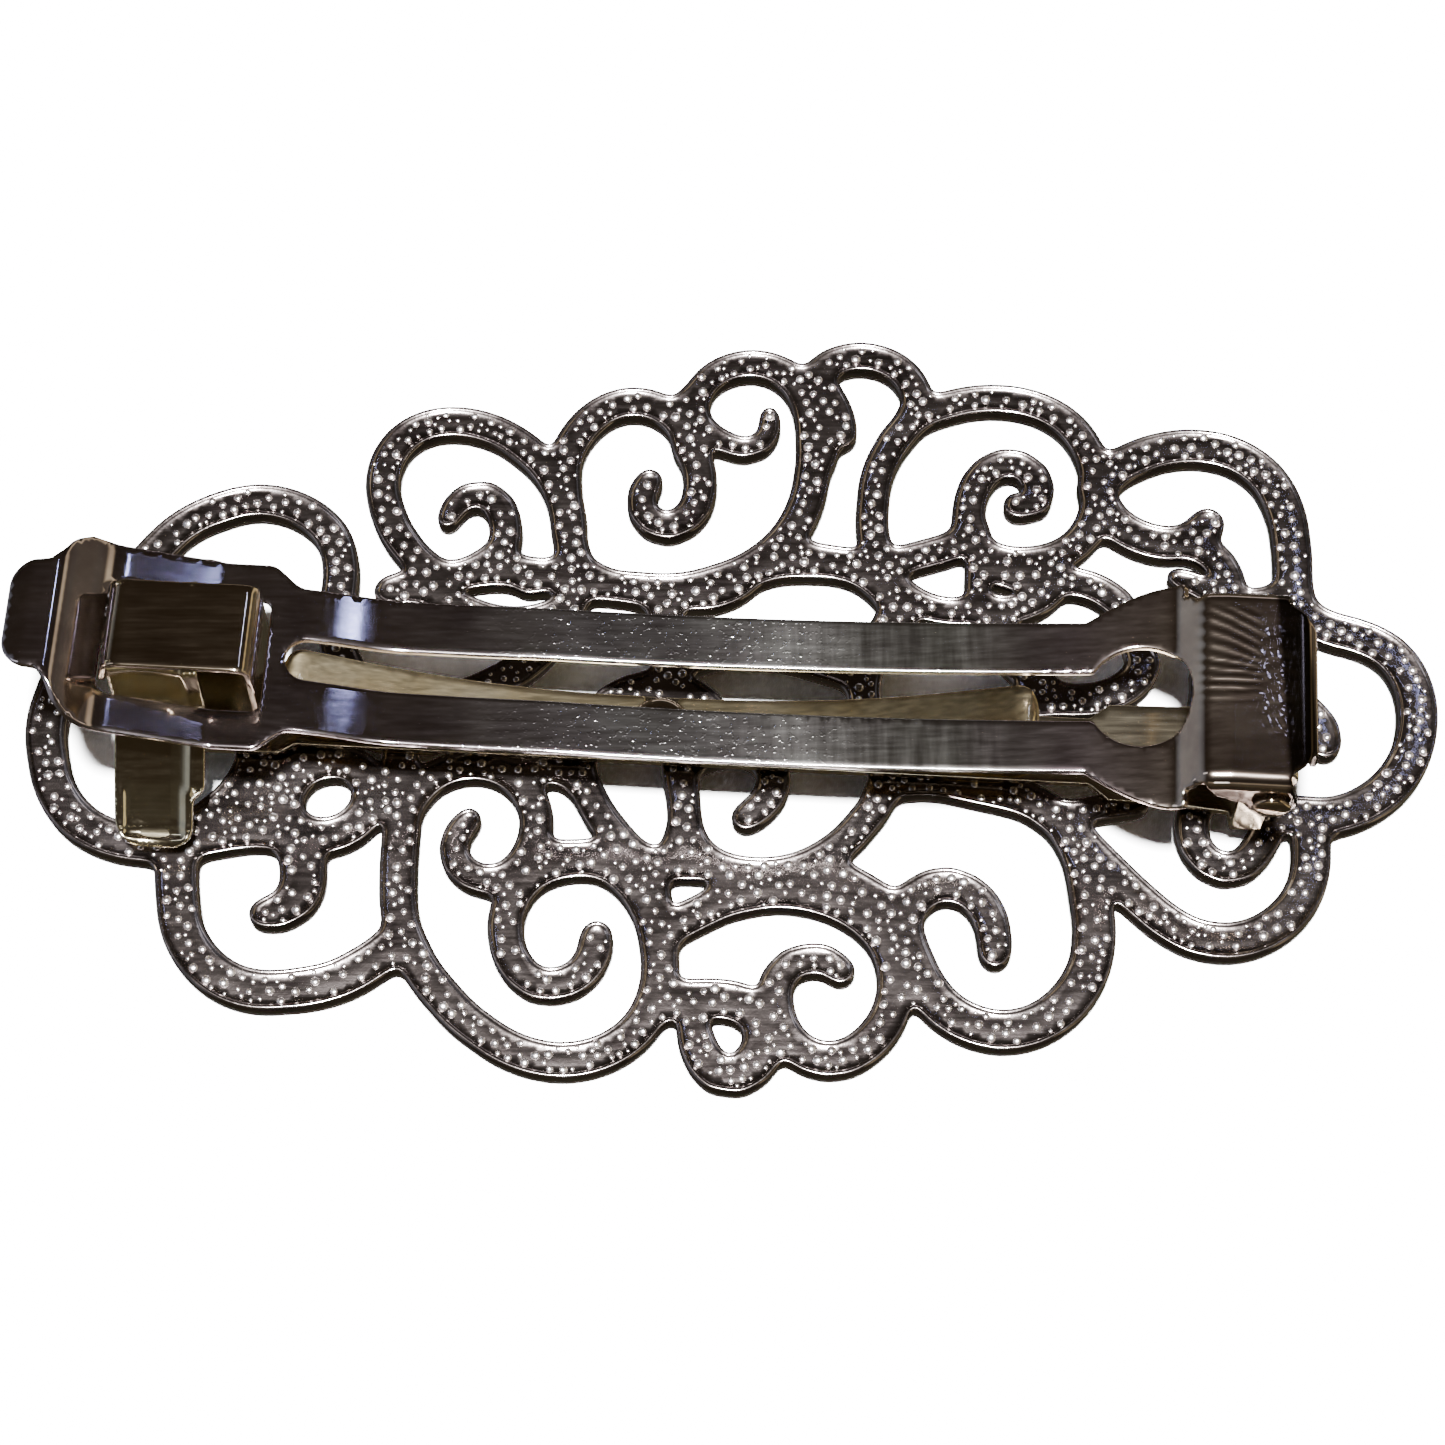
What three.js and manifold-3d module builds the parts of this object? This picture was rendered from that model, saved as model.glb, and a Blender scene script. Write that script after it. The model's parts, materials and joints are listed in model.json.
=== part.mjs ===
// Automatic hair clip with a scroll-work plate, lying on its front with the clasp side up.
// Millimetres. +X runs along the clip towards the hinge, +Y across it, +Z from the plate to the clasp.
// The plate's flat front is the plane z = 0, and the origin is the middle of the plate.
import * as THREE from "three";
import { mergeVertices } from "three/addons/utils/BufferGeometryUtils.js";
import Module from "manifold-3d";

const wasm = await Module();
wasm.setup();

// ---- Driving dimensions ----
const PLATE_THICK = 1.5;
const SCROLL_STEP = 1.15; // spacing of the points along a scroll's edges
const SCROLL_RIM = 0.1; // smooth rim that every scroll has on each side

const SHEET = 0.45; // thickness of the clasp's spring steel
const FIT_GAP = 0.3; // clearance between pieces that move or rest on each other

const CLASP_TURN_DEG = -3.2; // the clasp sits slightly turned on the plate
const CLASP_MIDDLE_Y = -1.7;

const PAD_THICK = 0.22;
const BASE_BOTTOM = PLATE_THICK + 0.3;
const BASE_THICK = 0.6;
const BASE_TOP = BASE_BOTTOM + BASE_THICK;
const BASE_HALF_WIDTH = 2.2;

const ARM_LOW_Z = 8.3; // top of the arm at its lowest point
const ARM_LOW_X = -3.5;
const ARM_RADIUS = 210; // the arm bows towards the plate
const RAIL_HALF_WIDTH = 4.8;
const SLOT_HALF_WIDTH = 1.6;
const SLOT_LEFT = -26.6;
const KEYHOLE_X = 24.6;
const KEYHOLE_RADIUS = 3.25;

const HEAD_LEFT = -39.4;
const HEAD_RIGHT = -27.0;
const HEAD_HALF_WIDTH = 6.1;
const WINDOW_LEFT = -37.4;
const WINDOW_RIGHT = -27.9;
const WINDOW_HALF_WIDTH = 3.7;
const TAB_TIP = -42.7;
const TAB_HALF_WIDTH = 3.5;
const TAB_RISE = 2.6;

const HOOD_LEFT = 26.0;
const HOOD_RIGHT = 34.2;
const HOOD_HALF_WIDTH = 6.4;
const FLARE_HALF_WIDTH = 7.3; // the arm flares beside the hood
const HOOD_TOP = 12.2;
const END_WALL = 1.6; // height of the hood's down-turned end
const PIN_X = 31.6;
const PIN_Z = 9.8;
const PIN_RADIUS = 0.6;
const EYE_RADIUS = 1.6;
const EAR_Y = 4.3;

const WEB_TOP = 13.2;
const WEB_LEFT = -36.7;
const WEB_RIGHT = -28.4;
const WEB_HALF_WIDTH = 2.85;
const WING_LEFT = -36.6;
const WING_RIGHT = -31.9;

const SPRING_X = -4.5;
const SPRING_RADIUS = 56;
const SPRING_THICK = 0.3;
const SPRING_HALF_WIDTH = 1.9;
const SPRING_REACH = 21.5;
const SPRING_BOTTOM = BASE_TOP + FIT_GAP;

// ---- Materials ----
const steel = new THREE.MeshStandardMaterial({ color: 0x8d8684, roughness: 0.16, metalness: 1 });
const goldenSteel = new THREE.MeshStandardMaterial({ color: 0xb5a27a, roughness: 0.24, metalness: 1 });
const plateMetal = new THREE.MeshStandardMaterial({ color: 0x9c9895, roughness: 0.2, metalness: 1 });

// ---- Solids ----
function solidOf(geometry) {
  const bare = geometry.clone();
  bare.deleteAttribute("normal");
  bare.deleteAttribute("uv");
  const merged = mergeVertices(bare, 1e-4);
  const mesh = new wasm.Mesh({
    numProp: 3,
    vertProperties: new Float32Array(merged.attributes.position.array),
    triVerts: new Uint32Array(merged.index.array),
  });
  return new wasm.Manifold(mesh);
}

function geometryOf(solid) {
  const mesh = solid.getMesh();
  const geometry = new THREE.BufferGeometry();
  geometry.setAttribute("position", new THREE.BufferAttribute(mesh.vertProperties, 3));
  geometry.setIndex(new THREE.BufferAttribute(mesh.triVerts, 1));
  geometry.computeVertexNormals();
  return geometry;
}

function piece(name, geometry, material) {
  const mesh = new THREE.Mesh(geometry, material);
  mesh.name = name;
  return mesh;
}

function box(x0, x1, y0, y1, z0, z1) {
  const geometry = new THREE.BoxGeometry(x1 - x0, y1 - y0, z1 - z0);
  return geometry.translate((x0 + x1) / 2, (y0 + y1) / 2, (z0 + z1) / 2);
}

// A flat plan outline, extruded up from z0 to z1.
function prism(shape, z0, z1, curveSegments = 8) {
  const geometry = new THREE.ExtrudeGeometry(shape, { depth: z1 - z0, bevelEnabled: false, curveSegments });
  return geometry.translate(0, 0, z0);
}

// An outline drawn in x and z, extruded from y0 to y1.
function sideways(shape, y0, y1, curveSegments = 8) {
  const geometry = new THREE.ExtrudeGeometry(shape, { depth: y1 - y0, bevelEnabled: false, curveSegments });
  return geometry.rotateX(Math.PI / 2).translate(0, y1, 0);
}

// An outline drawn in y and z, extruded from x0 to x1.
function lengthways(shape, x0, x1) {
  const geometry = new THREE.ExtrudeGeometry(shape, { depth: x1 - x0, bevelEnabled: false });
  return geometry.rotateX(Math.PI / 2).rotateZ(Math.PI / 2).translate(x0, 0, 0);
}

function rod(radius, x, z, y0, y1) {
  return new THREE.CylinderGeometry(radius, radius, y1 - y0, 20).translate(x, (y0 + y1) / 2, z);
}

// The outline of a bent sheet: the given line is one face and the sheet lies below or left of it.
function sheetShape(line, thick) {
  const offset = line.map((p, i) => {
    const before = line[Math.max(i - 1, 0)];
    const after = line[Math.min(i + 1, line.length - 1)];
    const along = new THREE.Vector2(after[0] - before[0], after[1] - before[1]).normalize();
    return new THREE.Vector2(p[0] + along.y * thick, p[1] - along.x * thick);
  });
  const face = line.map((p) => new THREE.Vector2(p[0], p[1]));
  return new THREE.Shape([...face, ...offset.reverse()]);
}

// ---- The scroll plate ----
// Each scroll follows a smooth line through a few points on the plate, [x, y]. `wide` is its width,
// and `tip` the width that it narrows to over its last third.
const SCROLLS = [
  // left end
  { path: [[-41.2, 3.6], [-42.1, 0], [-41.9, -2.8], [-41, -5.4], [-39.3, -7.4], [-36.8, -8.5], [-33.8, -8.7]], wide: 2.3 },
  { path: [[-41.2, 3.6], [-39.8, 6.6], [-37.6, 9.6], [-35, 12.9], [-32.4, 14.5], [-29.8, 15.1], [-27.2, 14.4],
           [-25.2, 12.6], [-24.5, 10], [-24.7, 7], [-24.3, 4], [-22.6, 1.6], [-20, 0.8]], wide: 2.1 },
  { path: [[-33.6, -9], [-33.4, -12], [-32.8, -14.6], [-31.2, -16.8], [-29, -18], [-26.4, -18.1], [-23.6, -17.5],
           [-21.4, -16.2], [-19.8, -14.8]], wide: 2.4 },
  { path: [[-34.2, -8.6], [-31.8, -8.3], [-29.2, -7.8], [-26.5, -8], [-24.2, -8.1], [-22.4, -6.8], [-22, -4.8],
           [-23.2, -3.3], [-25.4, -3.3], [-27, -4.6], [-27.3, -6.6]], wide: 2.2 },
  { path: [[-26.6, -7.6], [-26, -9.6], [-25.9, -11.4], [-26.7, -12.8], [-28.1, -13.2]], wide: 2.6, tip: 1.9 },
  { path: [[-33.2, -8.4], [-31.4, -6.9], [-29.9, -5.2], [-29, -3], [-29.6, 0], [-31.8, 3.4], [-34.8, 6.4], [-37.6, 9.6]], wide: 2.6 },
  { path: [[-29.2, -2.4], [-27.2, -3], [-25.2, -3]], wide: 2.2 },
  { path: [[-29.4, -6.4], [-27.4, -6.4]], wide: 2.4 },
  // upper left loop and its curl
  { path: [[-18.4, 9.6], [-20.2, 11.3], [-21.6, 13.7], [-22.2, 16.4], [-21.6, 18.8], [-19.9, 20.4], [-17.5, 20.8],
           [-15, 20.1], [-12.9, 18.6], [-11.4, 16.7], [-10.6, 14.6], [-10.3, 12.2], [-9.6, 9.6]], wide: 2 },
  { path: [[-16.2, 10.2], [-14.5, 11.4], [-14.3, 13.2], [-14.9, 15], [-16.3, 15.6], [-17.5, 14.8], [-18, 13.7]], wide: 1.9, tip: 1.3 },
  { path: [[-21.4, 8.6], [-19, 9.2], [-15.6, 10], [-12.6, 9.9], [-9.4, 9.2], [-6.4, 8.8], [-3.6, 8.7], [-1, 9.3],
           [1.4, 10.5], [3.2, 12.2], [4.4, 14.4], [5, 17], [5.1, 19.8], [4.8, 22.2], [3.8, 24], [2.2, 25], [0.6, 25.1],
           [-1, 24.5], [-2.2, 23.2], [-2.5, 21.6], [-1.8, 20.2], [-0.4, 19.2], [1, 18.8], [2, 19.4], [2.4, 20.5],
           [2.3, 21.3]], wide: 2.1, tip: 1.2 },
  { path: [[-19.4, 8.6], [-17.4, 7.6], [-15, 6.6], [-12.6, 6.5], [-10.6, 7.2]], wide: 1.9 },
  // second loop and its closed curl
  { path: [[-10.2, 13], [-10.7, 16], [-10.6, 18.4], [-9.6, 20.4], [-8.1, 21.8], [-6.3, 22.3], [-4.6, 21.8], [-3.3, 20.6],
           [-2.5, 18.8], [-2.1, 16.6], [-2.4, 14.5], [-3.8, 13.2], [-5.3, 13.6], [-5.9, 15.1], [-5.3, 16.5]], wide: 2, tip: 1.7 },
  { path: [[-2.7, 18.6], [-2.9, 20.6], [-2.6, 22.4]], wide: 2.2 },
  { path: [[-12.8, 9.2], [-9.8, 10.4], [-8.4, 9.4], [-5.4, 8.4], [-1.4, 8.2], [0.6, 9.2]], wide: 1.8 },
  // small top loop
  { path: [[4.7, 23.4], [6.1, 25.1], [8.2, 25.7], [10.2, 25.1], [11.4, 23.8], [11.8, 22.2], [11, 20.4], [9.8, 18.7],
           [9, 16.6], [8.7, 14.2], [8.8, 12], [9.4, 10], [10.2, 8.6]], wide: 1.9 },
  { path: [[5.2, 24], [6, 22.6], [6.6, 21.2], [7, 19.8]], wide: 2.2, tip: 1.7 },
  { path: [[5.2, 21.6], [5.6, 20.2], [5.4, 18]], wide: 2.2 },
  { path: [[3.2, 11.6], [5.4, 10.9], [7.4, 10.6], [9.6, 10.2]], wide: 1.9 },
  { path: [[-0.6, 8.8], [2, 10.1], [5, 10.4], [7.8, 9.8], [9.8, 7.9], [10.6, 6.4]], wide: 1.6 },
  // big upper right loop and its closed curl
  { path: [[10, 19.2], [11.6, 21.1], [14.2, 22.2], [17, 22.5], [19.6, 21.9], [21.6, 20.4], [22.7, 18.2], [23, 15.6],
           [22.4, 13.2], [21, 11.5], [18.8, 10.7], [16.4, 10.9], [14.9, 12.2], [14.8, 14.4], [15.5, 16.6], [17, 17.8],
           [18.7, 17.4], [19.3, 16], [18.9, 14.7], [17.9, 14.7]], wide: 1.9, tip: 1.9 },
  { path: [[9.2, 10.4], [11.4, 11], [13.8, 11.8], [15.2, 12.8]], wide: 1.9 },
  { path: [[9.4, 9.8], [10.8, 8.2], [12.8, 7.2], [15.4, 7.2], [18, 7.4], [19.6, 8.4]], wide: 1.8 },
  { path: [[15.3, 7.4], [15.2, 9.2], [15.4, 11]], wide: 1.5 },
  { path: [[16.6, 10], [18.6, 9.2], [21, 9.3], [23, 8.6], [24.2, 7.4]], wide: 1.9 },
  // right shoulder
  { path: [[22.8, 16], [24.2, 17.4], [26.6, 18.6], [29.2, 19], [31.8, 18.4], [33.8, 16.7], [34.8, 14.2], [35, 11.4],
           [34.9, 8.6], [35.4, 6.9], [37, 5.9], [39, 5.3], [40.8, 4.1], [41.8, 2], [41.9, -0.4], [41.2, -2.9], [39.8, -4.9],
           [37.8, -6.3], [35.6, -6.9], [33.6, -6.6]], wide: 2.3 },
  { path: [[23, 15.2], [23.8, 13.6], [25.4, 12.4], [27.4, 11.9], [29, 12.4], [29.8, 13.4]], wide: 2.3, tip: 2.2 },
  { path: [[28.6, 12], [30.2, 10.9], [30.9, 9.2], [30.6, 6.6], [29.6, 3.6], [28.8, 0], [28.4, -3.4], [27.9, -6]], wide: 2 },
  { path: [[30.4, 8], [28.8, 9], [27.6, 9.6]], wide: 1.6, tip: 1.2 },
  { path: [[30.9, 7.2], [33.2, 8], [35, 8.2]], wide: 1.8 },
  { path: [[29.2, 2.6], [31.6, 2.4], [34, 1], [35.8, -0.6], [36.1, -2]], wide: 2.4, tip: 2 },
  // lower right end
  { path: [[34.9, -6.6], [34.8, -8.6], [34.6, -10.6], [33.7, -12.6], [32, -14.2], [29.8, -15], [27.4, -14.7],
           [25.4, -13.4], [23.6, -11.6], [21.8, -9.6], [20.2, -7.6], [18, -5.8], [15, -4.9], [12, -4.3], [9.6, -4.4]], wide: 2.2 },
  { path: [[34.4, -6.6], [32.6, -7.1], [31.8, -8.6], [30.7, -10], [29.3, -10.3], [28, -9.3], [27.6, -7.6], [28, -5.6]], wide: 1.9 },
  { path: [[28.2, -5.6], [30.6, -5.4], [33, -6.4]], wide: 1.6 },
  { path: [[20, -7.2], [21, -9.4], [21.3, -11.8], [21.5, -14.2], [21.1, -16.6], [19.8, -18.8], [17.8, -20.3],
           [15.4, -20.7], [13, -19.8], [11.5, -18.2], [10.5, -16], [10, -13.6], [11.2, -11.8], [13, -11.3], [14.6, -12.2],
           [15.4, -13.8], [15.5, -15.8]], wide: 2.4, tip: 1.9 },
  { path: [[20.4, -6.6], [22.4, -6.2], [24.6, -6.1]], wide: 1.5, tip: 1.2 },
  // lower middle
  { path: [[-3.1, -4.8], [-3, -7], [-2.4, -8.9], [-0.8, -10.2], [1.6, -10.6], [4, -10.2], [6.2, -8.9], [7.8, -7.2],
           [8.9, -5.4], [9.2, -3], [8.2, -0.6], [8, 2.4], [9, 5.2], [10.4, 7.6]], wide: 1.9 },
  { path: [[5.4, -10.2], [7.2, -11.3], [9, -12.5], [10.2, -14]], wide: 2 },
  { path: [[-4.3, -14.4], [-2.4, -13.3], [0, -12.2], [2.6, -11.8], [5.2, -12.2], [7.4, -13.3], [9, -15], [9.6, -17.2],
           [9.3, -19.4], [8.1, -21.3], [6.2, -22.5], [4.2, -22.2], [2.9, -20.8], [2.4, -18.8], [2.7, -17], [4, -16.2],
           [5.6, -16.2], [6.3, -16.9]], wide: 2.1, tip: 1.8 },
  { path: [[-4.4, -18.8], [-2.2, -18.7], [0, -18.8], [1.7, -20], [1.7, -21.8], [0.7, -23.2], [-0.7, -23.5],
           [-1.9, -22.3], [-2.4, -20.6]], wide: 2.4, tip: 2 },
  { path: [[0.3, -10.6], [-0.6, -12.2]], wide: 2.4 },
  { path: [[-2.8, -3], [0, -2.2], [2, -3], [2.5, -4.6], [1.8, -6], [0.7, -6.9]], wide: 1.9, tip: 1.8 },
  // lower left spiral
  { path: [[-19, 0.8], [-20.4, -1.6], [-20.1, -4.6], [-20.1, -8], [-20.2, -11], [-19.9, -13.8], [-18.8, -16.4],
           [-17, -18.8], [-15, -20.7], [-12.6, -22.1], [-10, -22.6], [-7.5, -22], [-5.6, -20.5], [-4.6, -18.4],
           [-4.4, -16], [-4.9, -13.4], [-6, -11.4], [-7.7, -10], [-9.8, -9.8], [-11.9, -10.5], [-13.2, -12],
           [-13.7, -14], [-13.2, -16.2], [-11.8, -17.7], [-9.8, -17.6], [-8.5, -16.3], [-8.2, -14.6]], wide: 2.1, tip: 1.9 },
  { path: [[-20, -6.4], [-18.6, -4.4], [-16.4, -3.4], [-14, -3.8], [-12.4, -5.4], [-11.9, -7.4], [-12.4, -9.4],
           [-13.6, -10.8], [-15.3, -11], [-16.7, -9.9], [-16.9, -8.3], [-16, -7]], wide: 1.9, tip: 1.5 },
  { path: [[-12.2, -9.4], [-9.6, -9.3], [-6.6, -9.3], [-4, -10], [-1.6, -10.2]], wide: 1.7 },
  { path: [[-13.2, -4.2], [-11, -3.6], [-9.2, -4.6], [-8.2, -6.6], [-6.8, -8.5], [-5.3, -10.2], [-4.7, -12.4]], wide: 1.9 },
  { path: [[-3, -7.6], [-3.7, -10]], wide: 2 },
  // middle, under the clasp
  { path: [[-20, 0.8], [-16.4, 1.4], [-13.2, 3.2], [-11, 5.8], [-9.8, 9]], wide: 2 },
  { path: [[-9.3, -4.6], [-9.4, -1.6], [-7.2, 1.2], [-4.2, 2], [-1.6, 0.6], [-0.6, -2.2]], wide: 2 },
  { path: [[-3.2, -5], [-3.4, -2], [-3.8, 1.8], [-4, 5.4], [-4.6, 8.6]], wide: 2 },
  { path: [[12.6, -4.4], [13.4, -1.6], [16, 0.4], [19.2, 1], [22, 1], [24.2, 1.9], [25.4, 3.5], [24.9, 4.6]], wide: 2.1, tip: 1.9 },
  { path: [[16.2, 7.2], [16.6, 4.6], [18.4, 2.6], [19.8, 1]], wide: 2 },
  { path: [[-4, 3.4], [0, 4.6], [4, 4], [8, 2.6]], wide: 1.9 },
];

// The closed outline of one scroll: its line offset to both sides, with round ends.
function scrollOutline({ path, wide, tip }) {
  const line = new THREE.SplineCurve(path.map(([x, y]) => new THREE.Vector2(x, y)));
  const steps = Math.max(4, Math.ceil(line.getLength() / SCROLL_STEP));
  const left = [];
  const right = [];
  for (let i = 0; i <= steps; i++) {
    const at = line.getPointAt(i / steps);
    const along = line.getTangentAt(i / steps);
    const narrowed = Math.max(0, (3 * i) / steps - 2);
    const half = (wide + ((tip ?? wide) - wide) * narrowed) / 2 + SCROLL_RIM;
    left.push([at.x - along.y * half, at.y + along.x * half]);
    right.push([at.x + along.y * half, at.y - along.x * half]);
  }
  return [...right, ...roundEnd(right[steps], left[steps]), ...left.reverse(), ...roundEnd(left[steps], right[0])];
}

// The points of a half circle from one point to another, turning anticlockwise, without its ends.
function roundEnd(from, to) {
  const middle = [(from[0] + to[0]) / 2, (from[1] + to[1]) / 2];
  const arm = [from[0] - middle[0], from[1] - middle[1]];
  return [1, 2, 3].map((k) => {
    const c = Math.cos((k * Math.PI) / 4);
    const s = Math.sin((k * Math.PI) / 4);
    return [middle[0] + arm[0] * c - arm[1] * s, middle[1] + arm[0] * s + arm[1] * c];
  });
}

function signedArea(loop) {
  return THREE.ShapeUtils.area(loop.map(([x, y]) => new THREE.Vector2(x, y)));
}

function filigreePlate() {
  const joined = wasm.CrossSection.union(
    SCROLLS.map((scroll) => new wasm.CrossSection([scrollOutline(scroll)], "NonZero")),
  );
  const loops = joined.simplify(0.06).toPolygons().filter((loop) => Math.abs(signedArea(loop)) > 0.25);
  loops.sort((a, b) => signedArea(b) - signedArea(a));
  const toVectors = (loop) => loop.map(([x, y]) => new THREE.Vector2(x, y));
  const shape = new THREE.Shape(toVectors(loops[0]));
  for (const hole of loops.slice(1)) shape.holes.push(new THREE.Path(toVectors(hole)));
  return piece("filigree_plate", prism(shape, 0, PLATE_THICK), plateMetal);
}

// ---- The clasp's fixed pieces ----
function roundedBar(x0, x1, halfWidth, radius) {
  const shape = new THREE.Shape();
  shape.moveTo(x0 + radius, -halfWidth);
  shape.lineTo(x1 - radius, -halfWidth);
  shape.absarc(x1 - radius, -halfWidth + radius, radius, -Math.PI / 2, 0);
  shape.absarc(x1 - radius, halfWidth - radius, radius, 0, Math.PI / 2);
  shape.lineTo(x0 + radius, halfWidth);
  shape.absarc(x0 + radius, halfWidth - radius, radius, Math.PI / 2, Math.PI);
  shape.absarc(x0 + radius, -halfWidth + radius, radius, Math.PI, 1.5 * Math.PI);
  return shape;
}

// One ear of the base: an eye around the pin, on a neck that leaves room for the hood's end to swing under it.
function ear(y0, y1) {
  const neckLeft = -1.5;
  const neckRight = 0.3;
  const foot = BASE_BOTTOM + BASE_THICK / 2;
  const shape = new THREE.Shape();
  shape.moveTo(PIN_X + neckLeft, foot);
  shape.lineTo(PIN_X + neckRight, foot);
  const rightAngle = -Math.acos(neckRight / EYE_RADIUS);
  const leftAngle = Math.PI + Math.acos(-neckLeft / EYE_RADIUS);
  shape.absarc(PIN_X, PIN_Z, EYE_RADIUS, rightAngle, leftAngle);
  return solidOf(sideways(shape, y0, y1));
}

function baseStrip() {
  const hingeEnd = roundedBar(PIN_X - 4.4, PIN_X + 1.9, EAR_Y + BASE_THICK, 0.8);
  const latchEnd = roundedBar(WEB_LEFT, WEB_RIGHT + 1, WEB_HALF_WIDTH, 0.8);
  let base = solidOf(prism(roundedBar(WEB_LEFT, PIN_X, BASE_HALF_WIDTH, 1), BASE_BOTTOM, BASE_TOP, 4));
  base = base.add(solidOf(prism(hingeEnd, BASE_BOTTOM, BASE_TOP, 4)));
  base = base.add(solidOf(prism(latchEnd, BASE_BOTTOM, BASE_TOP, 4)));
  for (const y0 of [EAR_Y, -EAR_Y - BASE_THICK]) {
    base = base.add(ear(y0, y0 + BASE_THICK));
  }
  const bore = rod(PIN_RADIUS + FIT_GAP, PIN_X, PIN_Z, -EAR_Y - 2, EAR_Y + 2);
  return piece("base_strip", geometryOf(base.subtract(solidOf(bore))), steel);
}

function solderPad(name, x) {
  const pad = prism(roundedBar(x - 3, x + 3, BASE_HALF_WIDTH, 1.6), 0, PAD_THICK, 5);
  return piece(name, pad.translate(0, 0, PLATE_THICK + 0.03), goldenSteel);
}

// The latch bridge: a riser from the base, a flat web through the arm's window, and a short front lip.
function latchBridge() {
  const bend = 0.7;
  const line = [
    [WEB_LEFT, WEB_TOP - 2.6],
    [WEB_LEFT, WEB_TOP - bend],
    [WEB_LEFT + bend * 0.3, WEB_TOP - bend * 0.3],
    [WEB_LEFT + bend, WEB_TOP],
    [WEB_RIGHT - bend, WEB_TOP],
    [WEB_RIGHT - bend * 0.3, WEB_TOP - bend * 0.3],
    [WEB_RIGHT, WEB_TOP - bend],
    [WEB_RIGHT, BASE_TOP + 0.03],
  ];
  const sheet = sideways(sheetShape(line, SHEET), -WEB_HALF_WIDTH, WEB_HALF_WIDTH);
  return piece("latch_bridge", sheet, steel);
}

// One squeeze wing: a flap that hangs from the web's edge, leans out under the arm and ends in a rounded grip.
function latchWing(name, side) {
  const edge = WEB_HALF_WIDTH + 0.2;
  const line = [
    [edge, WEB_TOP - 0.1],
    [edge + 0.1, 8.6],
    [edge + 0.5, 7.9],
    [6.9, 5.6],
    [9.2, 3.6],
    [9.8, 3.3],
    [10.3, 3.4],
  ];
  const profile = sheetShape(line.map(([y, z]) => [y, z]), -SHEET * 0.8);
  const flap = solidOf(lengthways(profile, WING_LEFT, WING_RIGHT));
  const grip = solidOf(prism(roundedBar(WING_LEFT, WING_RIGHT, 10.4, 1.3), 0, WEB_TOP + 1, 5));
  let wing = geometryOf(flap.intersect(grip));
  if (side < 0) {
    wing = wing.rotateZ(Math.PI).translate(WING_LEFT + WING_RIGHT, 0, 0);
  }
  return piece(name, wing, goldenSteel);
}

function hingePin() {
  const outer = HOOD_HALF_WIDTH + 0.15;
  let pin = solidOf(rod(PIN_RADIUS, PIN_X, PIN_Z, -outer - 0.1, outer + 0.1));
  for (const y0 of [outer, -outer - 0.35]) {
    pin = pin.add(solidOf(rod(1.15, PIN_X, PIN_Z, y0, y0 + 0.35)));
  }
  return piece("hinge_pin", geometryOf(pin), steel);
}

function springRivet() {
  const headBottom = SPRING_BOTTOM + SPRING_THICK + 0.15;
  const profile = [
    [0, BASE_TOP + 0.03],
    [0.7, BASE_TOP + 0.03],
    [0.7, headBottom],
    [1.75, headBottom],
    [1.6, headBottom + 0.3],
    [1.0, headBottom + 0.5],
    [0, headBottom + 0.58],
  ].map(([r, z]) => new THREE.Vector2(r, z));
  const rivet = new THREE.LatheGeometry(profile, 20).rotateX(Math.PI / 2).translate(SPRING_X, 0, 0);
  return piece("spring_rivet", rivet, steel);
}

// ---- The moving pieces ----
// One leaf of the bow spring, from the rivet to a tip that curls over.
function springLeaf(name, side) {
  const line = [];
  const start = 1.0;
  const steps = 10;
  for (let i = 0; i <= steps; i++) {
    const run = start + ((SPRING_REACH - start) * i) / steps;
    const rise = Math.max(0, run - 2) ** 2 / (2 * (SPRING_RADIUS - 10));
    line.push([run, SPRING_BOTTOM + SPRING_THICK + rise]);
  }
  const [tipX, tipZ] = line[steps];
  line.push([tipX + 0.7, tipZ + 0.1], [tipX + 1.2, tipZ - 0.2]);
  const sheet = solidOf(sideways(sheetShape(line, SPRING_THICK), -SPRING_HALF_WIDTH, SPRING_HALF_WIDTH));
  const plan = solidOf(prism(roundedBar(-5, tipX + 1.6, SPRING_HALF_WIDTH, 1.7), 0, 12, 6));
  let leaf = geometryOf(sheet.intersect(plan));
  if (side < 0) {
    leaf = leaf.rotateZ(Math.PI);
  }
  return piece(name, leaf.translate(SPRING_X, 0, 0), goldenSteel);
}

function armZ(x) {
  return ARM_LOW_Z + (x - ARM_LOW_X) ** 2 / (2 * ARM_RADIUS);
}

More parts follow.
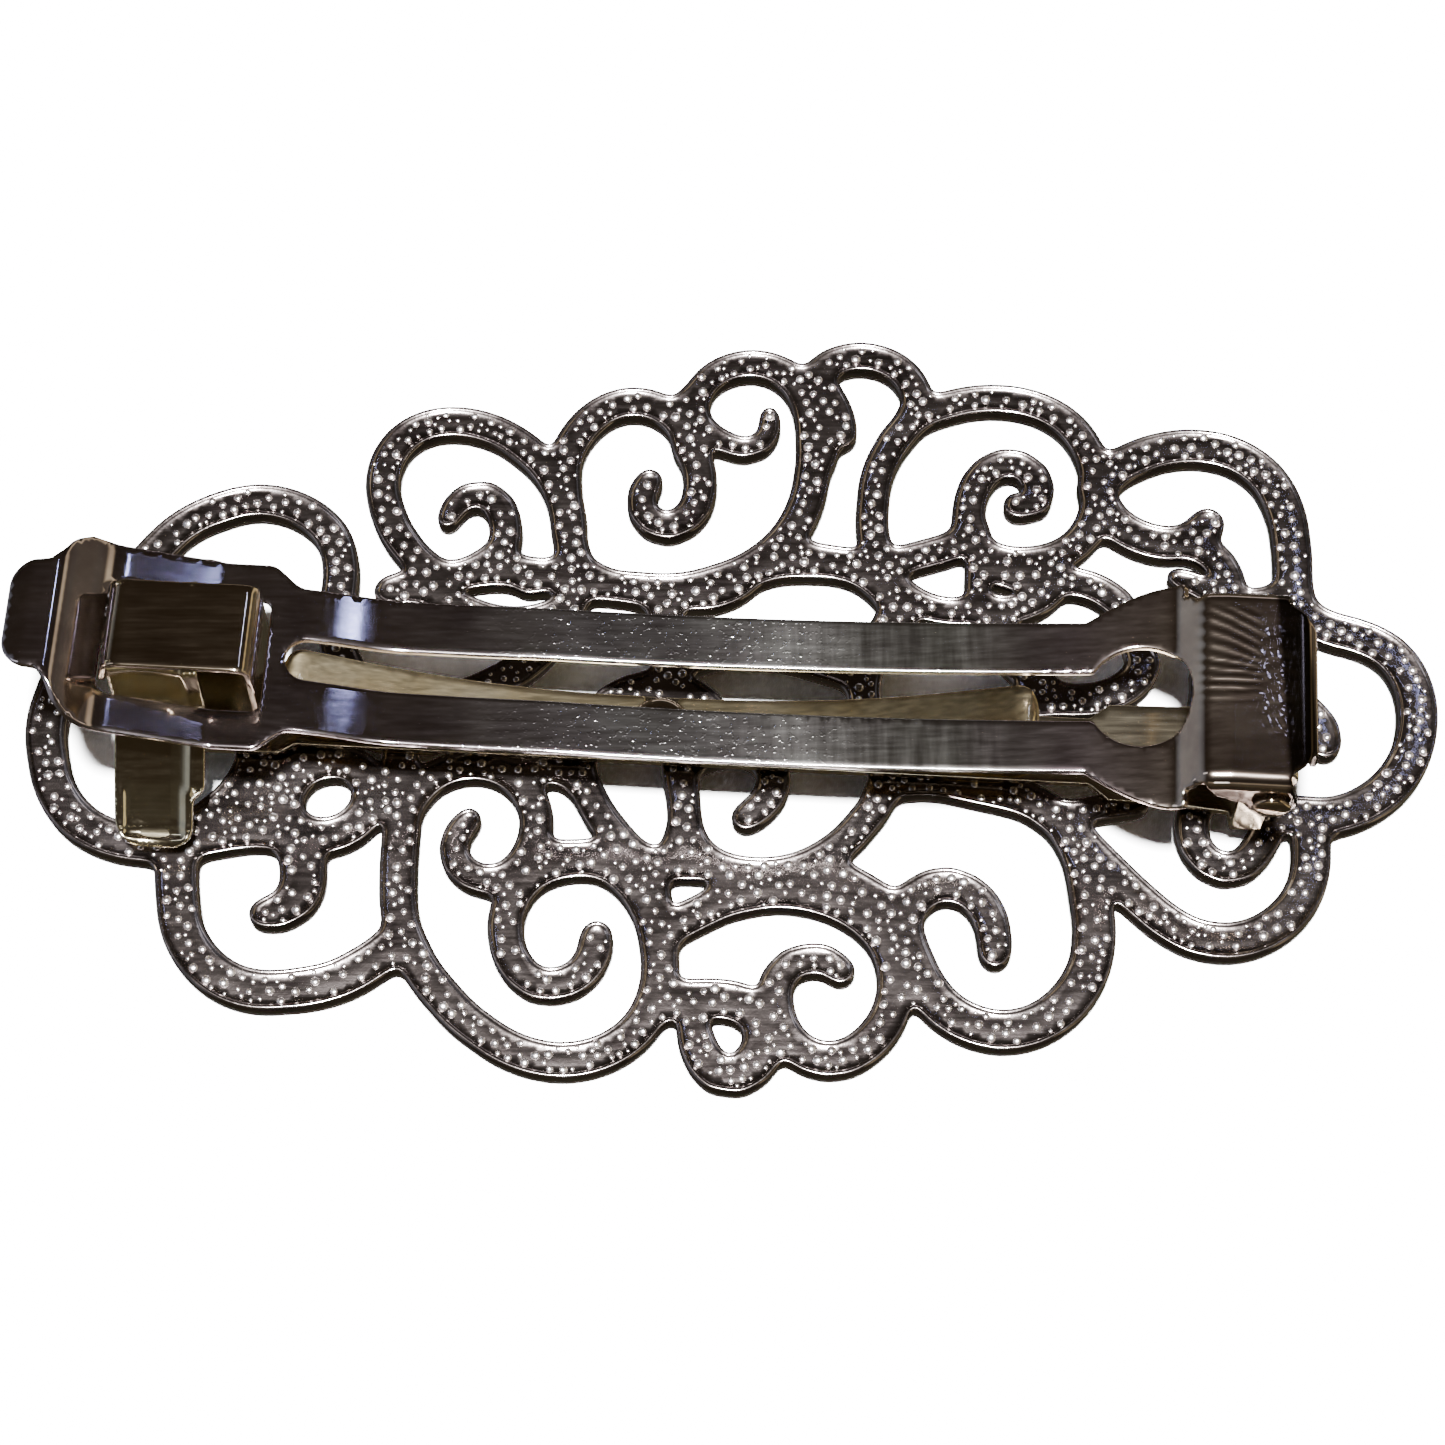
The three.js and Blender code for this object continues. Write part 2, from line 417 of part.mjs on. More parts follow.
// The arm seen from the side: raised thumb tab, stepped head, bowed rails, and the hood over the hinge.
function armLine() {
  const line = [
    [TAB_TIP, armZ(HEAD_LEFT) + TAB_RISE - 0.3],
    [TAB_TIP + 0.8, armZ(HEAD_LEFT) + TAB_RISE],
    [HEAD_LEFT - 1.2, armZ(HEAD_LEFT) + TAB_RISE],
    [HEAD_LEFT - 0.7, armZ(HEAD_LEFT) + TAB_RISE - 0.35],
    [HEAD_LEFT + 0.5, armZ(HEAD_LEFT) + 0.6],
    [HEAD_LEFT + 1.1, armZ(HEAD_LEFT) + 0.25],
  ];
  const kneeX = -32.4;
  line.push([kneeX, armZ(kneeX) + 0.35]);
  line.push([kneeX + 0.9, armZ(kneeX) + 0.05]);
  const railLeft = -29.4;
  const railSteps = 12;
  for (let i = 0; i <= railSteps; i++) {
    const x = railLeft + ((HOOD_LEFT - railLeft) * i) / railSteps;
    line.push([x, armZ(x)]);
  }
  const bend = 0.9;
  line.push([HOOD_LEFT + 0.7, HOOD_TOP - 0.3]);
  line.push([HOOD_LEFT + 1.3, HOOD_TOP]);
  for (const turn of [0, 30, 60, 90]) {
    const angle = (turn * Math.PI) / 180;
    line.push([HOOD_RIGHT - bend + bend * Math.sin(angle), HOOD_TOP - bend + bend * Math.cos(angle)]);
  }
  line.push([HOOD_RIGHT, HOOD_TOP - END_WALL]);
  return line;
}

// The arm seen from above, before bending.
function armPlan() {
  const shape = new THREE.Shape();
  const flareLeft = 20.7;
  const flareRight = HOOD_LEFT + 0.4;
  shape.moveTo(HOOD_RIGHT + 1, HOOD_HALF_WIDTH);
  shape.lineTo(flareRight + 0.2, HOOD_HALF_WIDTH);
  shape.lineTo(flareRight, FLARE_HALF_WIDTH);
  shape.quadraticCurveTo(flareLeft + 1.6, FLARE_HALF_WIDTH, flareLeft, RAIL_HALF_WIDTH);
  shape.lineTo(HEAD_RIGHT + 1, RAIL_HALF_WIDTH);
  shape.bezierCurveTo(HEAD_RIGHT - 0.2, RAIL_HALF_WIDTH, HEAD_RIGHT, HEAD_HALF_WIDTH, HEAD_RIGHT - 1.2, HEAD_HALF_WIDTH);
  shape.lineTo(HEAD_LEFT + 1.2, HEAD_HALF_WIDTH);
  shape.quadraticCurveTo(HEAD_LEFT - 0.6, HEAD_HALF_WIDTH, HEAD_LEFT - 1, TAB_HALF_WIDTH + 0.6);
  shape.lineTo(TAB_TIP + 1.2, TAB_HALF_WIDTH);
  shape.quadraticCurveTo(TAB_TIP, TAB_HALF_WIDTH, TAB_TIP, TAB_HALF_WIDTH - 1.4);
  const upper = shape.getPoints(6);
  const lower = upper.map((p) => new THREE.Vector2(p.x, -p.y)).reverse();
  const plan = new THREE.Shape([...upper, ...lower]);
  plan.holes.push(roundedBar(WINDOW_LEFT, WINDOW_RIGHT, WINDOW_HALF_WIDTH, 0.8));
  const slot = roundedBar(SLOT_LEFT, KEYHOLE_X, SLOT_HALF_WIDTH, 1.55);
  return { plan, slot };
}

// One side cheek of the hood, rounded about the pin.
function cheek(y0, y1) {
  const left = HOOD_LEFT + 1.3;
  const right = HOOD_RIGHT - SHEET / 2;
  const top = HOOD_TOP - SHEET / 2;
  const shape = new THREE.Shape();
  shape.moveTo(left, top);
  shape.lineTo(left, PIN_Z + 0.9);
  shape.lineTo(PIN_X - EYE_RADIUS, PIN_Z - 0.3);
  shape.absarc(PIN_X, PIN_Z, EYE_RADIUS, Math.PI, 2 * Math.PI);
  shape.lineTo(right, HOOD_TOP - END_WALL + 0.1);
  shape.lineTo(right, HOOD_TOP - 0.9);
  shape.lineTo(HOOD_RIGHT - 0.9, top);
  return solidOf(sideways(shape, y0, y1));
}

function claspArm() {
  const { plan, slot } = armPlan();
  const bent = solidOf(sideways(sheetShape(armLine(), SHEET), -9, 9));
  let arm = bent.intersect(solidOf(prism(plan, 0, 20, 8)));
  arm = arm.subtract(solidOf(prism(slot, 0, 20, 5)));
  const keyhole = new THREE.CylinderGeometry(KEYHOLE_RADIUS, KEYHOLE_RADIUS, 20, 28).rotateX(Math.PI / 2);
  arm = arm.subtract(solidOf(keyhole.translate(KEYHOLE_X - 0.6, 0, 8)));
  for (const y0 of [HOOD_HALF_WIDTH - SHEET, -HOOD_HALF_WIDTH]) {
    arm = arm.add(cheek(y0, y0 + SHEET));
  }
  const bore = rod(PIN_RADIUS + FIT_GAP, PIN_X, PIN_Z, -9, 9);
  return piece("clasp_arm", geometryOf(arm.subtract(solidOf(bore))), steel);
}

// ---- Assembly ----
const clasp = new THREE.Group();
clasp.position.y = CLASP_MIDDLE_Y;
clasp.rotation.z = THREE.MathUtils.degToRad(CLASP_TURN_DEG);
clasp.add(
  baseStrip(),
  solderPad("solder_pad_latch_end", -20),
  solderPad("solder_pad_hinge_end", 14.5),
  latchBridge(),
  latchWing("latch_wing_front", -1),
  latchWing("latch_wing_rear", 1),
  hingePin(),
  springRivet(),
  springLeaf("spring_leaf_latch_side", -1),
  springLeaf("spring_leaf_hinge_side", 1),
  claspArm(),
);

const hairClip = new THREE.Group();
hairClip.add(filigreePlate(), clasp);

export default hairClip;
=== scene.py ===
import json
import math

import bpy
import numpy as np
from mathutils import Matrix, Vector
from mathutils.geometry import delaunay_2d_cdt
from mathutils.kdtree import KDTree


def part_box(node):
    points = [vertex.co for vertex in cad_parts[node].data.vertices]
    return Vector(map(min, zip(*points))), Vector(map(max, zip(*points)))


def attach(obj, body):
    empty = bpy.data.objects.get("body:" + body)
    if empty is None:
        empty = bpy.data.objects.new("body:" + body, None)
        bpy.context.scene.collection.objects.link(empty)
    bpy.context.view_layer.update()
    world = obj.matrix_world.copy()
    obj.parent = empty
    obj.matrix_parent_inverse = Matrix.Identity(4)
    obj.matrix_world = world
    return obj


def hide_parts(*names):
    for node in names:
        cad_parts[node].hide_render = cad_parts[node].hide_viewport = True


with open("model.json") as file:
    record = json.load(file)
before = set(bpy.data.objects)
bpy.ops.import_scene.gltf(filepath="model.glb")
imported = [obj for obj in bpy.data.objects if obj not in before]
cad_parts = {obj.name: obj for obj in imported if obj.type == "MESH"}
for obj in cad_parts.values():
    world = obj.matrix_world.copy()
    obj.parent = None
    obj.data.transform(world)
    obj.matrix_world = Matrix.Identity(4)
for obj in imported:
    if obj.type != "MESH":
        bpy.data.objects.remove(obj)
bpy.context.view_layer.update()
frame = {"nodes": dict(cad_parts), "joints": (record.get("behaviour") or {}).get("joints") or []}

MM = 0.001

# ---- Driving sizes, in metres ----
PLATE_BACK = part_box("filigree_plate")[1][2]
SHEET = 0.45 * MM
PIN_X = 31.6 * MM
PIN_HOLE = 0.75 * MM
PIN_EYE = 1.6 * MM

ARM_HINGE = next(j for j in frame["joints"] if j["name"] == "arm_hinge")
PIN = Vector(ARM_HINGE["pos_m"])
PIN_Z = PIN.z
ACROSS = Vector(ARM_HINGE["axis"]).normalized()
ALONG = ACROSS.cross(Vector((0, 0, 1))).normalized()


def clasp_matrix():
    """From the clasp's own axes, along the arm and across it, to the frame's."""
    turn = Matrix((ALONG, ACROSS, Vector((0, 0, 1)))).transposed()
    origin = PIN - turn @ Vector((PIN_X, 0, PIN.z))
    return Matrix.Translation(origin) @ turn.to_4x4()


CLASP = clasp_matrix()


# ---- Outlines ----
def resample(loop, spacing):
    """A closed loop of 2D points, with a point about every `spacing` along it."""
    closed = np.vstack([loop, loop[:1]])
    run = np.concatenate([[0], np.cumsum(np.linalg.norm(np.diff(closed, axis=0), axis=1))])
    count = max(6, int(round(run[-1] / spacing)))
    at = np.linspace(0, run[-1], count, endpoint=False)
    return np.stack([np.interp(at, run, closed[:, k]) for k in range(2)], axis=1)


def smoothed(loop, rounds):
    """The loop with its corners eased, by averaging each point with its neighbours."""
    for _ in range(rounds):
        loop = 0.5 * loop + 0.25 * (np.roll(loop, 1, axis=0) + np.roll(loop, -1, axis=0))
    return loop


def signed_area(loop):
    x, y = loop[:, 0], loop[:, 1]
    return 0.5 * float(np.sum(x * np.roll(y, -1) - np.roll(x, -1) * y))


def arc(cx, cy, radius, start, end, steps=10):
    """Points on a circle, from one angle to another in degrees."""
    angles = np.radians(np.linspace(start, end, steps + 1))
    return [(cx + radius * math.cos(a), cy + radius * math.sin(a)) for a in angles]


def rounded_bar(x0, x1, half, radius):
    return np.array(
        arc(x1 - radius, -half + radius, radius, -90, 0)
        + arc(x1 - radius, half - radius, radius, 0, 90)
        + arc(x0 + radius, half - radius, radius, 90, 180)
        + arc(x0 + radius, -half + radius, radius, 180, 270)
    )


class Outline:
    """An outline with its openings, and how deep any point lies within it."""

    def __init__(self, loops):
        self.loops = [self.turned(loop, counterclockwise=(i == 0)) for i, loop in enumerate(loops)]
        dense = [resample(loop, 0.07 * MM) for loop in self.loops]
        self.points = np.vstack(dense)
        self.inward = np.vstack([self.inward_of(loop) for loop in dense])
        self.tree = KDTree(len(self.points))
        for i, (x, y) in enumerate(self.points):
            self.tree.insert((x, y, 0), i)
        self.tree.balance()

    @staticmethod
    def turned(loop, counterclockwise):
        """The loop in the direction that keeps the solid on its left."""
        return loop if (signed_area(loop) > 0) == counterclockwise else loop[::-1]

    @staticmethod
    def inward_of(loop):
        along = np.roll(loop, -1, axis=0) - np.roll(loop, 1, axis=0)
        along /= np.maximum(np.linalg.norm(along, axis=1, keepdims=True), 1e-12)
        return np.stack([-along[:, 1], along[:, 0]], axis=1)

    def depth(self, points):
        """Each point's distance from the outline: above zero inside, below zero outside."""
        close = 0.15 * MM
        nearest = np.array([self.tree.find((x, y, 0))[1:] for x, y in points])
        index = nearest[:, 0].astype(int)
        way = np.sum((points - self.points[index]) * self.inward[index], axis=1)
        gap = np.where(nearest[:, 1] < close, np.abs(way), nearest[:, 1])
        return np.copysign(gap, way)

    def inset(self, depth):
        """A row of points at one depth inside every edge, where there is room for it."""
        rows = np.vstack([loop + self.inward_of(loop) * depth for loop in self.loops])
        return rows[self.depth(rows) > depth * 0.9]


def hex_points(low, high, spacing):
    """A triangular grid of points over a rectangle."""
    rows = []
    row = 0
    y = low[1]
    while y < high[1]:
        x = np.arange(low[0] + (row % 2) * spacing / 2, high[0], spacing)
        rows.append(np.stack([x, np.full(len(x), y)], axis=1))
        y += spacing * math.sqrt(3) / 2
        row += 1
    return np.vstack(rows)


def plan_mesh(loops, rings, spacing, fine=None):
    """Triangles that fill an outline: points, faces, each point's depth, and the edges' point numbers.

    `rings` are the depths of extra rows of points inside the edge. `fine` is (low, high, spacing) of a
    stretch with closer points.
    """
    outline = Outline(loops)
    border = np.vstack(outline.loops)
    grid = hex_points(border.min(axis=0), border.max(axis=0), spacing)
    closest = spacing
    if fine is not None:
        in_fine = np.all((grid > fine[0]) & (grid < fine[1]), axis=1)
        grid = np.vstack([grid[~in_fine], hex_points(fine[0], fine[1], fine[2])])
        closest = fine[2]
    grid = grid[outline.depth(grid) > (max(rings) if rings else 0) + 0.45 * closest]
    points = np.vstack([border, *[outline.inset(depth) for depth in rings], grid])
    edges = []
    rims = []
    first = 0
    for loop in outline.loops:
        n = len(loop)
        edges += [(first + i, first + (i + 1) % n) for i in range(n)]
        rims.append(range(first, first + n))
        first += n
    flat = [Vector(p) for p in points / MM]
    verts, _, faces, ids, _, _ = delaunay_2d_cdt(flat, edges, [], 0, 1e-5)
    verts = np.array([(v.x, v.y) for v in verts]) * MM
    faces = np.array([f for f in faces if len(f) == 3])
    faces = faces[outline.depth(verts[faces].mean(axis=1)) > 0]
    new_id = {old: new for new, olds in enumerate(ids) for old in olds}
    rims = [[new_id[i] for i in rim] for rim in rims]
    gap = np.maximum(outline.depth(verts), 0)
    for rim in rims:
        gap[rim] = 0
    return verts, faces, gap, rims


def mesh_object(name, verts, faces, material):
    mesh = bpy.data.meshes.new(name)
    mesh.from_pydata([tuple(v) for v in verts], [], [tuple(int(i) for i in f) for f in faces])
    mesh.validate()
    mesh.update()
    mesh.shade_smooth()
    mesh.materials.append(material)
    obj = bpy.data.objects.new(name, mesh)
    bpy.context.scene.collection.objects.link(obj)
    return obj


def closed_sheet(name, plan, place, top, bottom, material, wall=(0.35, 0.65)):
    """A solid sheet over a plan: `top` and `bottom` give heights from (points, edge distance), and
    `place` takes plan points and heights into space."""
    points, faces, gap, rims = plan
    upper = place(points, top(points, gap))
    lower = place(points, bottom(points, gap))
    verts = [upper, lower]
    n = len(points)
    all_faces = [tuple(f) for f in faces] + [tuple(f[::-1] + n) for f in faces]
    count = 2 * n
    for rim in rims:
        rows = [np.array(rim)]
        for share in wall:
            verts.append(upper[rim] * (1 - share) + lower[rim] * share)
            rows.append(np.arange(count, count + len(rim)))
            count += len(rim)
        rows.append(np.array(rim) + n)
        for above, below in zip(rows, rows[1:]):
            for i in range(len(rim)):
                j = (i + 1) % len(rim)
                all_faces.append((above[j], above[i], below[i], below[j]))
    obj = mesh_object(name, np.vstack(verts), all_faces, material)
    weigh = obj.modifiers.new("flat faces", "WEIGHTED_NORMAL")
    weigh.keep_sharp = True
    weigh.weight = 80
    return obj


def turn_inside_out(obj):
    """Flip a mirrored piece's faces, so that they look outward again."""
    obj.data.flip_normals()


def round_edge(gap, radius):
    """How far a sheet's face drops near its edge, for an edge of this radius."""
    depth = np.clip(radius - gap, 0, radius)
    return radius - np.sqrt(np.maximum(radius**2 - depth**2, 0))


# ---- Materials ----
class Nodes:
    """A short way to write a node material."""

    def __init__(self, name):
        self.material = bpy.data.materials.new(name)
        self.material.use_nodes = True
        self.tree = self.material.node_tree
        self.shader = self.tree.nodes["Principled BSDF"]

    def add(self, kind, **values):
        node = self.tree.nodes.new(kind)
        for key, value in values.items():
            if hasattr(node, key):
                setattr(node, key, value)
            else:
                node.inputs[key.replace("_", " ")].default_value = value
        return node

    def link(self, out, into):
        self.tree.links.new(out, into)

    def noise(self, coords, scale, detail=3.0, rough=0.5):
        node = self.add("ShaderNodeTexNoise")
        node.inputs["Scale"].default_value = scale
        node.inputs["Detail"].default_value = detail
        node.inputs["Roughness"].default_value = rough
        self.link(coords, node.inputs["Vector"])
        return node.outputs["Fac"]

    def stretched(self, scale):
        coords = self.add("ShaderNodeTexCoord")
        mapping = self.add("ShaderNodeMapping")
        mapping.inputs["Scale"].default_value = scale
        self.link(coords.outputs["Object"], mapping.inputs["Vector"])
        return mapping.outputs["Vector"]

    def span(self, value, low, high, new_low, new_high):
        node = self.add("ShaderNodeMapRange")
        for key, number in zip(("From Min", "From Max", "To Min", "To Max"), (low, high, new_low, new_high)):
            node.inputs[key].default_value = number
        self.link(value, node.inputs["Value"])
        return node.outputs["Result"]

    def zone(self, value, start, end):
        """1 between two soft borders, each given as (from, to), and 0 beyond them."""
        return self.times(self.span(value, *start, 0, 1), self.span(value, *end, 1, 0))

    def times(self, a, b):
        node = self.add("ShaderNodeMath", operation="MULTIPLY")
        for value, socket in zip((a, b), node.inputs):
            if isinstance(value, (int, float)):
                socket.default_value = value
            else:
                self.link(value, socket)
        return node.outputs[0]

    def plus(self, a, b):
        node = self.add("ShaderNodeMath", operation="ADD")
        self.link(a, node.inputs[0])
        self.link(b, node.inputs[1])
        return node.outputs[0]

    def two_tones(self, fac, dark, light):
        ramp = self.add("ShaderNodeValToRGB")
        ramp.color_ramp.elements[0].color = (*dark, 1)
        ramp.color_ramp.elements[1].color = (*light, 1)
        ramp.color_ramp.elements[0].position = 0.3
        ramp.color_ramp.elements[1].position = 0.7
        self.link(fac, ramp.inputs["Fac"])
        self.link(ramp.outputs["Color"], self.shader.inputs["Base Color"])
        return ramp.color_ramp.elements

    def tinted(self, fac, stops):
        """Multiply the base colour by the tints given as (position, colour)."""
        tint = self.add("ShaderNodeValToRGB")
        ramp = tint.color_ramp.elements
        ramp[0].position, ramp[0].color = stops[0][0], (*stops[0][1], 1)
        ramp[1].position, ramp[1].color = stops[-1][0], (*stops[-1][1], 1)
        for position, colour in stops[1:-1]:
            ramp.new(position).color = (*colour, 1)
        mix = self.add("ShaderNodeMix", data_type="RGBA", blend_type="MULTIPLY")
        mix.inputs["Factor"].default_value = 1.0
        base = self.shader.inputs["Base Color"]
        self.link(fac, tint.inputs["Fac"])
        self.link(base.links[0].from_socket, mix.inputs[6])
        self.link(tint.outputs["Color"], mix.inputs[7])
        self.link(mix.outputs[2], base)

    def bump(self, height, distance):
        node = self.add("ShaderNodeBump")
        node.inputs["Strength"].default_value = 1.0
        node.inputs["Distance"].default_value = distance
        self.link(height, node.inputs["Height"])
        self.link(node.outputs["Normal"], self.shader.inputs["Normal"])


BUMP_STEP = 0.01 * MM


def plated_metal(name, dark, light, rough, scratch_depth, dent_depth):
    """Plated metal: slow changes of tone, fine scratches along the piece and small dents.

    The depths are in units of BUMP_STEP.
    """
    n = Nodes(name)
    n.shader.inputs["Metallic"].default_value = 1.0
    coords = n.stretched((1, 1, 1))
    slow = n.noise(coords, 350, 3)
    n.two_tones(slow, dark, light)
    scratches = n.noise(n.stretched((260, 3800, 3800)), 1.0, 4, 0.65)
    dents = n.noise(coords, 2600, 3, 0.6)
    n.link(n.span(scratches, 0.35, 0.75, rough[0], rough[1]), n.shader.inputs["Roughness"])
    n.bump(n.plus(n.times(scratches, scratch_depth), n.times(dents, dent_depth)), BUMP_STEP)
    return n.material


def arm_metal():
    """Mirror plating: pitted and brushed along the rails, dull on the flare and the hood, with painted shade
    darkening the hood's end bend.
    """
    n = Nodes("arm_plating")
    n.shader.inputs["Metallic"].default_value = 1.0
    coords = n.stretched((1, 1, 1))
    place = n.add("ShaderNodeSeparateXYZ")
    n.link(coords, place.inputs[0])
    x, y = place.outputs["X"], place.outputs["Y"]
    pits_start, pits_end = (-19 * MM, -10 * MM), (3 * MM, 9 * MM)
    brushed_start, brushed_end = (-4 * MM, 4 * MM), (15 * MM, 16.5 * MM)
    hood_start = (25.5 * MM, 27 * MM)
    painted_shade_start, painted_shade_end = (31.8 * MM, 32.2 * MM), (33.7 * MM, 34.0 * MM)
    front_cheek = (-8 * MM, -5 * MM)
    tint_from, tint_to = -20 * MM, 30 * MM
    pitted = n.zone(x, pits_start, pits_end)
    brushed = n.zone(x, brushed_start, brushed_end)
    flare = n.zone(x, brushed_end, hood_start)
    hood = n.times(n.span(x, *hood_start, 0, 1), n.span(y, *front_cheek, 0.4, 1))
    # painted shade: between these borders the hood's end bend is darkened to near black
    unshaded = n.plus(n.span(x, *painted_shade_start, 1, 0), n.span(x, *painted_shade_end, 0, 1))
    slow = n.noise(coords, 300, 3)
    ramp = n.two_tones(n.times(slow, unshaded), (0.36, 0.30, 0.31), (0.56, 0.50, 0.50))
    # painted shade: the near-black colour that the hood's end bend gets
    ramp.new(0.02).color = (0.05, 0.04, 0.035, 1)
    violet, bluish, greenish = (1, 0.98, 1), (0.92, 1, 1), (0.90, 1, 0.92)
    rosy, brown = (1, 0.95, 0.97), (1, 0.94, 0.78)
    tints = ((0.0, violet), (0.25, bluish), (0.66, greenish), (0.80, rosy), (0.92, brown))
    n.tinted(n.span(x, tint_from, tint_to, 0, 1), tints)
    pits = n.span(n.noise(coords, 3200, 1, 0.6), 0.60, 0.66, 0, 1)
    across = n.noise(n.stretched((1500, 160, 300)), 1.0, 3, 0.6)
    scratches = n.noise(n.stretched((300, 3000, 3000)), 1.0, 4, 0.65)
    dull = n.plus(n.times(pitted, 0.041), n.times(n.times(brushed, across), 0.09))
    dull = n.plus(dull, n.plus(n.times(flare, 0.030), n.times(hood, 0.032)))
    n.link(n.plus(n.span(scratches, 0.3, 0.8, 0.07, 0.11), dull), n.shader.inputs["Roughness"])
    height = n.plus(n.times(scratches, 0.12), n.times(n.times(pitted, pits), 0.6))
    n.bump(n.plus(height, n.times(n.times(brushed, across), 0.4)), BUMP_STEP)
    return n.material


def leaf_metal():
    """The springs: golden steel with long scratches, duller towards the latch."""
    n = Nodes("leaf_plating")
    n.shader.inputs["Metallic"].default_value = 1.0
    coords = n.stretched((1, 1, 1))
    place = n.add("ShaderNodeSeparateXYZ")
    n.link(coords, place.inputs[0])
    n.two_tones(n.noise(coords, 350, 3), (0.60, 0.48, 0.27), (0.82, 0.70, 0.46))
    scratches = n.noise(n.stretched((260, 3800, 3800)), 1.0, 4, 0.65)
    dull = n.span(place.outputs["X"], -24 * MM, -8 * MM, 0.065, 0)
    n.link(n.plus(n.span(scratches, 0.35, 0.75, 0.13, 0.18), dull), n.shader.inputs["Roughness"])
    n.bump(n.times(scratches, 0.4), BUMP_STEP)
    return n.material


# painted shade: the ground between the beads is a much darker copy of the bead metal, standing for the dark
# room it reflects
PLATE_METAL_PAINTED_SHADE = plated_metal("plate_plating_painted_shade", (0.17, 0.142, 0.136), (0.33, 0.285, 0.275), (0.125, 0.18), 0, 1.2)
BEAD_METAL = plated_metal("bead_plating", (0.50, 0.46, 0.45), (0.82, 0.77, 0.76), (0.20, 0.28), 0, 0.5)
ARM_METAL = arm_metal()
LEAF_METAL = leaf_metal()
STEEL = plated_metal("clasp_plating", (0.42, 0.33, 0.24), (0.60, 0.50, 0.38), (0.06, 0.11), 0.3, 0.15)
GOLDEN = plated_metal("golden_steel", (0.56, 0.47, 0.30), (0.80, 0.72, 0.53), (0.07, 0.12), 0.4, 0.15)
BASE_METAL = plated_metal("base_plating", (0.52, 0.45, 0.32), (0.74, 0.66, 0.49), (0.12, 0.17), 0.3, 0.15)


# ---- The scroll plate ----
RIM = 0.30 * MM
RIM_THICK = 0.45 * MM
DOME_REACH = 0.8 * MM


def plate_loops():
    """The outline and the openings of the CAD plate, read off the rim of its upper face and smoothed."""
    mesh = frame["nodes"]["filigree_plate"].data
    keys = {}
    ids = []
    for v in mesh.vertices:
        key = (round(v.co.x / MM, 3), round(v.co.y / MM, 3), round(v.co.z / MM, 3))
        ids.append(keys.setdefault(key, len(keys)))
    places = [None] * len(keys)
    for key, i in keys.items():
        places[i] = key
    top = PLATE_BACK / MM - 0.01
    following = {}
    sides = set()
    for poly in mesh.polygons:
        corner = [ids[i] for i in poly.vertices]
        if all(places[i][2] > top for i in corner):
            sides.update(zip(corner, corner[1:] + corner[:1]))
    for a, b in sides:
        if (b, a) not in sides:
            following[a] = b
    loops = []
    while following:
        start, at = following.popitem()
        loop = [start]
        while at != start:
            loop.append(at)
            at = following.pop(at)
        loops.append(np.array([places[i][:2] for i in loop]) * MM)
    loops.sort(key=lambda loop: -abs(signed_area(loop)))
    return [smoothed(resample(loop, 0.32 * MM), 4) for loop in loops]


def plate_back(points, gap):
    """The back's height: a rounded rim, a shallow groove, and a slightly crowned band for the beads."""
    across = np.clip(gap / RIM, 0, 1)
    lip = 0.10 * MM * np.sin(math.pi * across)
    sunk = 0.09 * MM * np.clip((gap - RIM) / (0.12 * MM), 0, 1)
    edge = round_edge(gap, 0.14 * MM)
    crown = 0.05 * MM * np.clip((gap - 0.4 * MM) / (0.8 * MM), 0, 1)
    return PLATE_BACK + lip - sunk - edge + crown


def plate_front(points, gap):
    """The front's height: domed strokes, thin at their rims, that rest on their middles."""
    rim_height = PLATE_BACK - RIM_THICK
    share = np.clip(gap / DOME_REACH, 0, 1)
    return rim_height * (1 - np.sqrt(1 - (1 - share) ** 2))


def flat_place(points, heights):
    return np.column_stack([points, heights])


def filigree_plate(loops):
    plan = plan_mesh(loops, (0.05 * MM, 0.14 * MM, RIM, 0.42 * MM), 0.4 * MM)
    plate = closed_sheet("scroll_plate", plan, flat_place, plate_back, plate_front, PLATE_METAL_PAINTED_SHADE)
    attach(plate, "root")
    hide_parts("filigree_plate")
    return plate


def bead_places(loops):
    """Bead centres and radii, scattered over the sunken band: big ones first, then small ones between."""
    rng = np.random.default_rng(7)
    outline = Outline(loops)
    low, high = loops[0].min(axis=0), loops[0].max(axis=0)
    cell = 0.8 * MM
    cells = {}
    placed = []
    edge_gap, least_gap = 0.26 * MM, 0.04 * MM
    for radius, tries, apart in ((0.28 * MM, 30000, 0.68 * MM), (0.15 * MM, 14000, 0.40 * MM)):
        spots = low + rng.random((tries, 2)) * (high - low)
        for (x, y), gap, chance in zip(spots, outline.depth(spots), rng.random(tries)):
            size = radius * (0.76 + 0.42 * chance)
            if gap < edge_gap + size:
                continue
            column, row = int(x // cell), int(y // cell)
            around = [(column + i, row + j) for i in (-1, 0, 1) for j in (-1, 0, 1)]
            near = [q for key in around for q in cells.get(key, [])]
            if any(math.hypot(x - q[0], y - q[1]) < max(apart, size + q[2] + least_gap) for q in near):
                continue
            bead = (x, y, size, gap)
            cells.setdefault((column, row), []).append(bead)
            placed.append(bead)
    return placed


